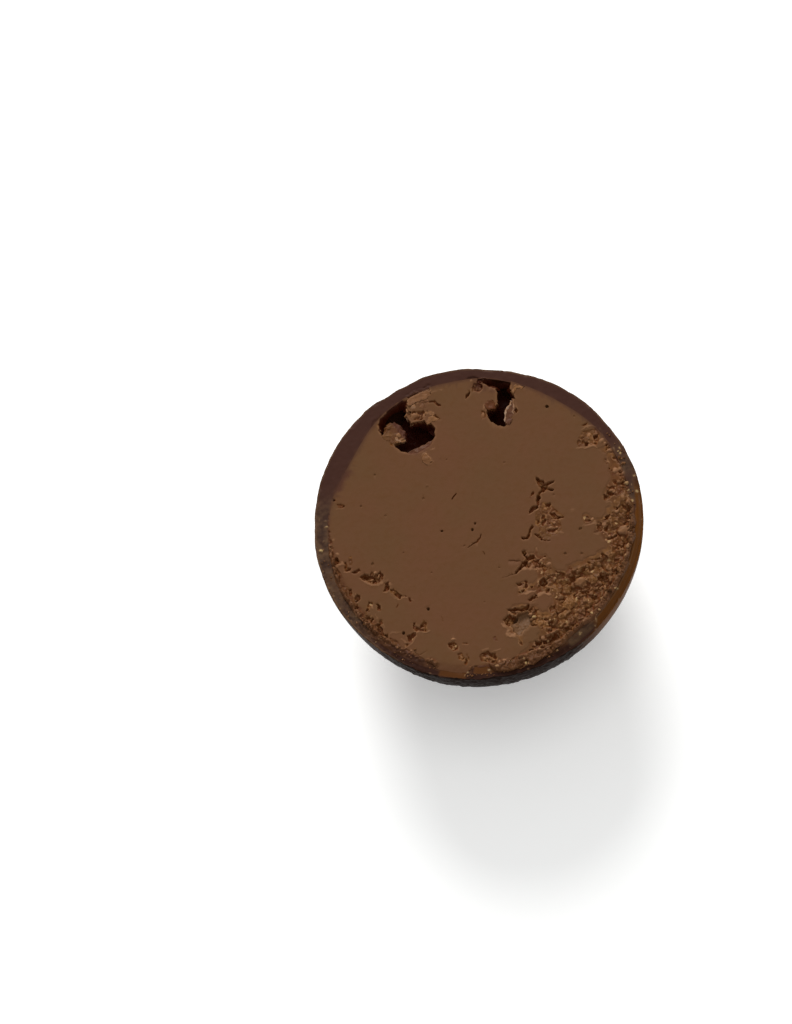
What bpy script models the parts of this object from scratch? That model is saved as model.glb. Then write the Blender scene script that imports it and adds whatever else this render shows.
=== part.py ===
"""Half a chocolate praline ball, cut through its middle and lying on its round back.

The ball is made whole, as the real one is: a coat of dark chocolate with a ball of ganache in it.
A knife plane then takes the upper half away. The coat is cut flat. The ganache tears in places, so
its cut face has crumbly patches, small pits and two deep holes that the piping left near the coat.

Metres, +Z up. The origin is the middle of the small flat foot, and the cut face looks up.
On the cut face +X is right and +Y is up, as seen from above. Azimuths turn from +X towards +Y.
"""

import math

import bmesh
import bpy
from mathutils import Matrix, Vector, noise

MM = 0.001

# Driving dimensions, in metres.
BALL_RADIUS = 14.0 * MM
FOOT_RADIUS = 2.6 * MM
COAT_WALL = 1.05 * MM
FIT_GAP = 0.3 * MM
UNEVENNESS = 0.06 * MM

# Where the coat is thicker or thinner at the cut: azimuth and reach in degrees, extra wall in mm.
COAT_SWELLS = (
    (152.0, 20.0, 0.80),
    (58.0, 20.0, 0.42),
    (100.0, 10.0, 0.15),
    (192.0, 18.0, 0.25),
    (-30.0, 45.0, -0.12),
    (-100.0, 20.0, -0.25),
)

# Each hole is a few round lobes: x, y, half length, half width and depth in mm, and its turn in degrees.
LEFT_HOLE = (
    (-5.00, 7.75, 1.55, 1.35, 2.6, 20.0),
    (-5.70, 9.30, 0.95, 0.80, 2.2, 75.0),
    (-6.95, 10.20, 2.00, 1.00, 2.3, 42.0),
)
RIGHT_HOLE = (
    (1.80, 9.45, 0.95, 1.05, 2.4, 0.0),
    (2.25, 10.60, 0.70, 1.00, 2.0, 0.0),
    (2.10, 11.80, 1.25, 0.90, 1.8, 0.0),
)
SMALL_HOLE = ((0.05, 11.95, 0.50, 0.42, 0.9, 0.0),)

# Torn patches of the cut face: x, y, half length, half width and depth in mm, and turn in degrees.
TORN_PATCHES = (
    (9.3, -7.3, 5.2, 3.4, 0.62, 46.0),
    (5.9, -9.3, 3.4, 3.0, 0.66, -35.0),
    (3.0, -9.3, 1.1, 1.3, 0.85, 0.0),
    (4.6, -12.1, 2.2, 0.9, 0.55, 20.0),
    (11.2, -1.6, 2.4, 1.6, 0.55, 30.0),
    (12.2, 2.0, 4.2, 1.2, 0.50, 97.0),
    (9.8, 6.9, 1.1, 0.8, 0.55, 20.0),
    (5.4, 2.8, 0.8, 0.5, 0.55, 60.0),
    (4.8, 0.9, 1.1, 0.4, 0.60, 55.0),
    (6.4, -0.4, 0.9, 0.7, 0.50, -60.0),
    (4.7, -1.5, 0.5, 0.3, 0.45, 30.0),
    (4.6, -4.4, 1.3, 0.7, 0.55, 40.0),
    (-12.0, -3.6, 0.6, 0.3, 0.45, -30.0),
    (-10.9, -4.3, 0.6, 0.3, 0.50, -30.0),
    (-9.4, -5.1, 1.2, 0.5, 0.55, -27.0),
    (-7.0, -6.5, 1.3, 0.35, 0.45, -32.0),
    (-10.4, -6.6, 0.7, 0.4, 0.45, -50.0),
    (-8.7, -9.6, 1.3, 0.5, 0.50, -42.0),
    (-6.1, -10.3, 0.9, 0.5, 0.55, 50.0),
    (-4.9, -9.3, 0.8, 0.35, 0.45, 10.0),
    (-1.8, -11.5, 0.9, 0.5, 0.45, -50.0),
    (1.5, -12.5, 1.2, 0.6, 0.55, 0.0),
    (-5.4, 10.9, 1.4, 0.5, 0.35, 30.0),
)
CRUMB_SIZE = 0.95 * MM
CRUMB_HEIGHT = 0.45 * MM
PATCH_EDGE = 0.35  # share of a patch's reach over which it sinks from the cut plane

# How finely each surface is made.
COAT_STEPS = (72, 40)
FILLING_STEPS = (56, 28)
TORN_CELLS = 80
LOBE_SUBDIVISIONS = 3

# Worked out from the sizes above.
CENTRE_HEIGHT = math.sqrt(BALL_RADIUS**2 - FOOT_RADIUS**2)
CUT_HEIGHT = CENTRE_HEIGHT
CENTRE = Vector((0.0, 0.0, CENTRE_HEIGHT))
BLOCK_HALF = BALL_RADIUS * 1.25

COAT_COLOUR = "#412a22"
GANACHE_COLOUR = "#63442e"


def linear(hex_colour):
    """A #rrggbb colour as linear red, green, blue and alpha."""
    parts = [int(hex_colour[i : i + 2], 16) / 255.0 for i in (1, 3, 5)]
    return [p / 12.92 if p <= 0.04045 else ((p + 0.055) / 1.055) ** 2.4 for p in parts] + [1.0]


def material(name, hex_colour, roughness):
    made = bpy.data.materials.new(name)
    made.use_nodes = True
    shader = made.node_tree.nodes["Principled BSDF"]
    shader.inputs["Base Color"].default_value = linear(hex_colour)
    shader.inputs["Roughness"].default_value = roughness
    shader.inputs["Metallic"].default_value = 0.0
    made.diffuse_color = linear(hex_colour)
    return made


def clear_scene():
    for obj in list(bpy.data.objects):
        bpy.data.objects.remove(obj)


def collection(name, hidden=False):
    made = bpy.data.collections.new(name)
    bpy.context.scene.collection.children.link(made)
    made.hide_render = hidden
    return made


def keep_in(obj, home):
    """Moves a newly added object to its collection."""
    for current in list(obj.users_collection):
        current.objects.unlink(obj)
    home.objects.link(obj)
    return obj


def as_helper(obj, cutters):
    obj.hide_render = True
    obj.display_type = "WIRE"
    return keep_in(obj, cutters)


def coat_wall(direction):
    """The coat's thickness along a unit vector from the ball's middle. It is even near the foot."""
    azimuth = math.degrees(math.atan2(direction.y, direction.x))
    at_the_cut = 1.0 - direction.z**2
    extra = 0.0
    for middle, reach, swell in COAT_SWELLS:
        away = (azimuth - middle + 180.0) % 360.0 - 180.0
        extra += swell * math.exp(-((away / reach) ** 2))
    return COAT_WALL + extra * MM * at_the_cut**2


def hand_rolled(direction):
    """How far the ball's skin stands off a true ball, as it was rolled by hand."""
    return UNEVENNESS * noise.noise(direction * 1.6 + Vector((3.1, 7.7, 1.3)))


def ball(name, home, steps, radius_at):
    """A ball about the middle whose radius along each direction comes from radius_at."""
    segments, rings = steps
    bpy.ops.mesh.primitive_uv_sphere_add(
        segments=segments, ring_count=rings, radius=BALL_RADIUS, location=CENTRE
    )
    obj = bpy.context.object
    obj.name = name
    for vertex in obj.data.vertices:
        direction = vertex.co.normalized()
        vertex.co = direction * radius_at(direction)
    return keep_in(obj, home)


def block(name, low, high, cutters):
    """A box between two heights, wide enough to cut right through the ball."""
    bpy.ops.mesh.primitive_cube_add(size=1.0, location=(0.0, 0.0, (low + high) / 2.0))
    obj = bpy.context.object
    obj.name = name
    obj.data.transform(Matrix.Diagonal((BLOCK_HALF * 2.0, BLOCK_HALF * 2.0, high - low, 1.0)))
    return as_helper(obj, cutters)


def patch_depth(x, y, patch):
    """How deep one torn patch is at a point, as a share of its depth, with a soft edge."""
    middle_x, middle_y, half_length, half_width, _, turn = patch
    turned = Matrix.Rotation(math.radians(-turn), 2) @ Vector((x - middle_x * MM, y - middle_y * MM))
    across = math.hypot(turned.x / (half_length * MM), turned.y / (half_width * MM))
    return min(1.0, max(0.0, (1.0 - across) / PATCH_EDGE))


def torn_height(x, y):
    """Height of the ganache's cut face above the cut plane: 0 where the cut is clean."""
    wander = noise.noise(Vector((x, y, 0.0)) / (1.7 * MM)) * 0.3 * MM
    sunk = 0.0
    for patch in TORN_PATCHES:
        sunk = max(sunk, patch[4] * MM * patch_depth(x + wander, y - wander, patch))
    nearest = noise.voronoi(Vector((x, y, 0.0)) / CRUMB_SIZE)[0][0]
    crumb = CRUMB_HEIGHT * (1.0 - min(1.0, nearest))
    share = min(1.0, sunk / (0.3 * MM))
    return min(0.0, share * crumb - sunk)


def torn_knife(cutters):
    """What the knife takes off the ganache: a block whose underside is the torn cut face."""
    bm = bmesh.new()
    bmesh.ops.create_grid(bm, x_segments=TORN_CELLS, y_segments=TORN_CELLS, size=BALL_RADIUS)
    for vertex in bm.verts:
        vertex.co.z = CUT_HEIGHT + torn_height(vertex.co.x, vertex.co.y)
    raised = bmesh.ops.extrude_face_region(
        bm, geom=bm.verts[:] + bm.edges[:] + bm.faces[:], use_keep_orig=True
    )
    for item in raised["geom"]:
        if isinstance(item, bmesh.types.BMVert):
            item.co.z = CUT_HEIGHT + BLOCK_HALF
    bmesh.ops.recalc_face_normals(bm, faces=bm.faces)
    mesh = bpy.data.meshes.new("torn_knife")
    bm.to_mesh(mesh)
    bm.free()
    obj = bpy.data.objects.new("torn_knife", mesh)
    bpy.context.scene.collection.objects.link(obj)
    return as_helper(obj, cutters)


def hole_lobes(name, lobes, holes):
    """The round lobes of one hole, each a lumpy ball that is wider under the face than at it."""
    for number, (x, y, half_length, half_width, depth, turn) in enumerate(lobes):
        bpy.ops.mesh.primitive_ico_sphere_add(subdivisions=LOBE_SUBDIVISIONS, radius=1.0)
        obj = bpy.context.object
        obj.name = f"{name}_{number}"
        for vertex in obj.data.vertices:
            vertex.co *= 1.0 + 0.18 * noise.noise(vertex.co * 1.7 + Vector((x, y, number)))
        size = Matrix.Diagonal((half_length * MM, half_width * MM, depth * MM, 1.0))
        place = Matrix.Translation((x * MM, y * MM, CUT_HEIGHT - 0.3 * depth * MM))
        obj.data.transform(place @ Matrix.Rotation(math.radians(turn), 4, "Z") @ size)
        as_helper(obj, holes)


def cut(obj, name, cutter=None, cutters=None):
    """Takes a cutter, or all that a collection holds, away from an object."""
    step = obj.modifiers.new(name, "BOOLEAN")
    step.operation = "DIFFERENCE"
    step.solver = "EXACT"
    if cutters is None:
        step.object = cutter
    else:
        step.operand_type = "COLLECTION"
        step.collection = cutters


def finish(obj, look):
    obj.data.materials.append(look)
    obj.data.shade_smooth()
    obj.data.set_sharp_from_angle(angle=math.radians(35.0))


def make_coat(home, cutters):
    """The dark chocolate coat, a half bowl with a wall of uneven thickness and a flat foot."""
    coat = ball("chocolate_coat", home, COAT_STEPS, lambda d: BALL_RADIUS + hand_rolled(d))
    hollow = ball("hollow", cutters, FILLING_STEPS, lambda d: BALL_RADIUS - coat_wall(d))
    as_helper(hollow, cutters)
    cut(coat, "knife", block("knife", CUT_HEIGHT, CUT_HEIGHT + BLOCK_HALF, cutters))
    cut(coat, "table", block("table", -BLOCK_HALF, 0.0, cutters))
    cut(coat, "hollow", hollow)
    finish(coat, material("dark_chocolate", COAT_COLOUR, 0.35))


def make_filling(home, cutters, holes):
    """The ganache, a half ball with a torn cut face and the holes beside the coat."""
    reach = BALL_RADIUS - FIT_GAP
    filling = ball("ganache_filling", home, FILLING_STEPS, lambda d: reach - coat_wall(d))
    for name, lobes in (("left", LEFT_HOLE), ("right", RIGHT_HOLE), ("small", SMALL_HOLE)):
        hole_lobes(name, lobes, holes)
    cut(filling, "torn_cut", torn_knife(cutters))
    cut(filling, "holes", cutters=holes)
    finish(filling, material("milk_ganache", GANACHE_COLOUR, 0.6))


def main():
    clear_scene()
    praline = collection("half_praline")
    cutters = collection("cutters", hidden=True)
    holes = collection("holes", hidden=True)
    make_coat(praline, cutters)
    make_filling(praline, cutters, holes)


main()
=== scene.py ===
"""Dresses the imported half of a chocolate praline: a dipped coat, torn ganache, flakes and crumbs.

Lengths are in metres in the scene. The cut face is worked out in millimetres, with its middle at 0, 0:
on it +X is right and +Y is up, as seen from above, and azimuths turn from +X towards +Y.
"""

import itertools
import math
from types import SimpleNamespace

import bpy
import numpy as np
from bpy.props import FloatProperty, FloatVectorProperty, PointerProperty
from mathutils import Matrix, Vector, noise


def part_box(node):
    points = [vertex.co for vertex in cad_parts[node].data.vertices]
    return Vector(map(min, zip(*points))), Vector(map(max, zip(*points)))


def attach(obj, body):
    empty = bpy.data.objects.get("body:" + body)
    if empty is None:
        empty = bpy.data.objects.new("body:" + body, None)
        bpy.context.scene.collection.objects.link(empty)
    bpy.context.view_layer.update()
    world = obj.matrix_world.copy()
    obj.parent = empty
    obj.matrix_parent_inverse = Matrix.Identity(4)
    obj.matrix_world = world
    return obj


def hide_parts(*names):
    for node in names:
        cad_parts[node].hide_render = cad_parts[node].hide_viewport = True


bl_info = {
    "name": "Half chocolate praline",
    "version": (1, 0, 0),
    "blender": (4, 5, 0),
    "location": "3D View > Sidebar > Praline",
    "description": "Builds the coat, the torn ganache and the crumbs of half a chocolate praline",
    "category": "Object",
}

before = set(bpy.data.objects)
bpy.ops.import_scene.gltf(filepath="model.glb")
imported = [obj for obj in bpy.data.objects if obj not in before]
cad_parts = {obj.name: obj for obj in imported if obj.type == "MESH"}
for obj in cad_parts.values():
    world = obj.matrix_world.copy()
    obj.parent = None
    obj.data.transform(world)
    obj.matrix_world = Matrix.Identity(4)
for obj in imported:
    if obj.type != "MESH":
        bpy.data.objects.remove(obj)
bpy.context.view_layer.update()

MM = 0.001
COAT_LOW, COAT_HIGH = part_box("chocolate_coat")

# The ball, from the frame.
BALL_RADIUS = ((COAT_HIGH.x - COAT_LOW.x) + (COAT_HIGH.y - COAT_LOW.y)) / 4.0
CUT_HEIGHT = COAT_HIGH.z
CENTRE = Vector((0.0, 0.0, CUT_HEIGHT))
RADIUS_MM = BALL_RADIUS / MM
CUT_HEIGHT_MM = CUT_HEIGHT / MM

# The coat's wall, as in the part: azimuth and reach in degrees, extra wall at the cut in mm.
COAT_WALL = 1.05
COAT_SWELLS = (
    (152.0, 20.0, 0.8),
    (58.0, 20.0, 0.42),
    (100.0, 10.0, 0.15),
    (192.0, 18.0, 0.25),
    (-30.0, 45.0, -0.12),
    (-100.0, 20.0, -0.25),
)
UNEVENNESS = 0.06     # mm that the coat's skin waves in and out
BEVEL = 0.09          # mm that the coat's outer edge is rounded
RIM_SAG = 0.45        # mm that the knife bent the rim down on its soft side
SKIRT = 0.08          # mm that the ganache reaches into the coat
# Torn ganache that lies on the coat's cut: azimuth in degrees, mm beyond the coat's inner edge.
OVERLAP = (
    (-176.0, 0.0), (-168.0, 0.12), (-150.0, 0.18), (-132.0, 0.18), (-122.0, 0.06), (-110.0, 0.04), (-106.5, 0.15),
    (-104.5, 0.44), (-97.0, 0.46), (-93.5, 0.44), (-92.0, 0.0), (-86.0, 0.0), (-83.5, 0.6), (-78.0, 0.78),
    (-68.0, 0.8), (-60.0, 0.55), (-55.0, 0.25), (-50.0, 0.12), (-45.0, 0.3), (-40.0, 0.38), (-12.0, 0.34),
    (-4.0, 0.28), (2.0, 0.15), (8.0, 0.0),
)
# Crumbled ganache along the coat's inner edge: azimuth in degrees, mm wide.
CRUMBLED = (
    (-190.0, 0.0), (-180.0, 0.2), (-168.0, 0.4), (-155.0, 0.5), (-140.0, 0.8), (-128.0, 0.7), (-120.0, 0.35),
    (-108.0, 0.12), (-103.0, 0.0), (-93.0, 0.0), (-88.0, 0.3), (-80.0, 0.3), (-68.0, 0.2), (-60.0, 0.0),
)
# The edge of the cut: azimuth in degrees, mm out from the ball.
RIM_EDGE = (
    (-140.0, 0.0), (-118.0, 0.12), (-105.0, 0.32), (-70.0, 0.34), (-56.0, 0.2), (-40.0, 0.06), (-10.0, 0.08),
    (12.0, 0.02), (20.0, -0.03), (28.0, -0.09), (36.0, -0.18), (48.0, -0.1), (60.0, -0.17), (76.0, -0.27),
    (88.0, -0.27), (93.0, -0.14), (104.0, -0.01), (110.0, 0.04), (115.7, -0.1), (120.0, -0.06), (124.8, -0.1),
    (127.5, 0.04), (131.0, 0.07), (142.0, 0.05), (152.0, 0.03), (165.0, -0.03), (180.0, -0.1), (190.0, -0.03),
    (203.0, 0.02),
)

# The map of the cut, in mm.
MAP_STEP = 0.05
MAP_REACH = 14.4
FLOOR_STEP = 0.27     # how far the torn field drops at its edge, and again further in
MOUTH_DEPTH = 1.6     # how far the map drops in the holes' mouths, above the caverns
TEAR_SHARE = 0.58     # the share of its listed depth that a tear gets
CRACK_SHARE = 0.55    # the same for a crack
BLUR_ROUNDS = 12      # rounds of smoothing that edges stand out against
NEIGHBOUR_ROUNDS = 4  # the same on the flakes
GRAIN_CELLS = 24      # cells along each side of the lattice that noise is read from
# Crumbs on torn ganache: radii and heights in mm, and a power that flattens their tops the lower it is.
LUMPS = {"seed": 31, "count": 9500, "radii": (0.16, 0.66), "heights": (0.05, 0.40), "flat": 0.42}
GRAINS = {"seed": 32, "count": 40000, "radii": (0.07, 0.22), "heights": (0.04, 0.16), "flat": 0.5}

# The meshes, with sizes in mm.
COAT_STEPS = 900            # steps round the coat
FILLING_TRIANGLES = 197000
CAVERN_VOXEL = 0.10
CAVERN_ROOF = -0.45         # the highest that a cavern reaches
FLAKE_VOXEL = 0.045
CRUMB_SEED = 8

# The materials' patterns, in lumps to a millimetre.
SKIN_CLOUDS = 0.19          # thinner and thicker chocolate, a lump in 5 mm
BLOOM_PATCHES = 0.11        # patches of bloom, 9 mm
SKIN_SCRATCHES = 2.6        # fine scratches, 0.4 mm
CUT_GRAIN = 1.5             # the grain of the coat's cut, 0.7 mm
GANACHE_CLOUDS = 0.15       # duller clouds on the smooth cut, 7 mm
GANACHE_SPECKS = 2.2        # specks of the ganache, 0.5 mm
# the dry edges' colour also carries the painted highlight along the rim
DRY_SHARE = 0.8             # how far the dry edges' colour covers the coat's
CHOCOLATE_IOR = 1.46        # cocoa butter
# The zones that every piece of ganache stores for its material.
GANACHE_ZONES = (
    "torn", "pale", "tone", "bare", "stained", "rusty", "deep", "edge", "rim", "over_ring", "wall",
    "whitish", "hollow",
)

# The large torn field at the right and lower right.
TORN_FIELD = (
    (10.4, 6.0), (11.0, 5.5), (10.85, 5.0), (11.25, 4.4), (11.3, 3.4), (11.1, 2.8), (10.85, 2.3), (10.7, 1.8),
    (10.85, 1.35), (11.35, 1.25), (11.4, 0.8), (10.95, 0.65), (10.9, 0.1), (10.6, -0.3), (10.2, -0.4), (9.7, -0.25),
    (9.4, 0.1), (8.95, 0.1), (8.9, -0.5), (9.1, -0.75), (9.6, -0.65), (10.1, -0.5), (10.15, -0.9), (9.95, -1.5),
    (10.4, -1.65), (10.6, -2.1), (10.9, -2.4), (10.8, -3.0), (10.2, -3.3), (9.8, -3.7), (9.1, -3.8), (8.9, -4.1),
    (8.2, -4.2), (7.7, -4.4), (7.3, -4.85), (6.75, -4.8), (6.4, -4.65), (6.1, -4.1), (6.2, -3.85), (5.75, -3.45),
    (5.3, -3.4), (5.05, -3.1), (4.95, -2.7), (4.75, -3.15), (4.3, -3.3), (4.1, -2.95), (3.8, -2.95), (3.75, -3.3),
    (4.0, -3.6), (3.85, -3.95), (3.6, -4.35), (3.3, -4.8), (3.9, -4.6), (4.5, -4.45), (4.85, -4.7), (5.0, -5.1),
    (5.0, -5.6), (4.75, -5.9), (4.35, -5.95), (3.9, -5.8), (3.3, -5.9), (3.35, -6.35), (3.5, -6.8), (3.8, -6.8),
    (4.2, -6.6), (4.85, -6.5), (4.95, -6.85), (4.6, -7.1), (4.3, -7.45), (4.8, -7.55), (4.95, -7.1), (5.3, -6.85),
    (5.7, -6.8), (6.2, -6.95), (6.4, -7.3), (6.35, -7.8), (6.0, -8.1), (5.9, -8.5), (5.3, -8.5), (5.0, -8.0),
    (4.5, -7.9), (3.6, -7.7), (3.0, -7.9), (2.6, -8.2), (2.55, -8.6), (2.15, -9.0), (2.3, -9.5), (2.7, -10.0),
    (2.8, -10.4), (3.3, -10.6), (3.7, -11.3), (3.8, -10.7), (4.0, -10.1), (4.4, -9.7), (5.1, -9.7), (5.2, -10.3),
    (5.0, -11.0), (4.4, -11.3), (4.2, -11.8), (3.7, -12.0), (3.4, -12.3), (3.3, -12.8), (2.8, -12.9), (2.2, -12.7),
    (1.7, -12.6), (1.5, -13.2), (1.4, -15.0), (16.0, -15.0), (16.0, 6.4), (11.2, 6.3),
)
# The smooth floor of the large cavity, torn but hardly crumbled.
SMOOTH_FLOOR = (
    (3.0, -8.9), (3.5, -8.5), (4.2, -8.3), (4.6, -8.7), (4.5, -9.6), (4.1, -10.2), (3.8, -10.5), (3.3, -10.5),
    (2.95, -10.0), (2.8, -9.6),
)
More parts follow.
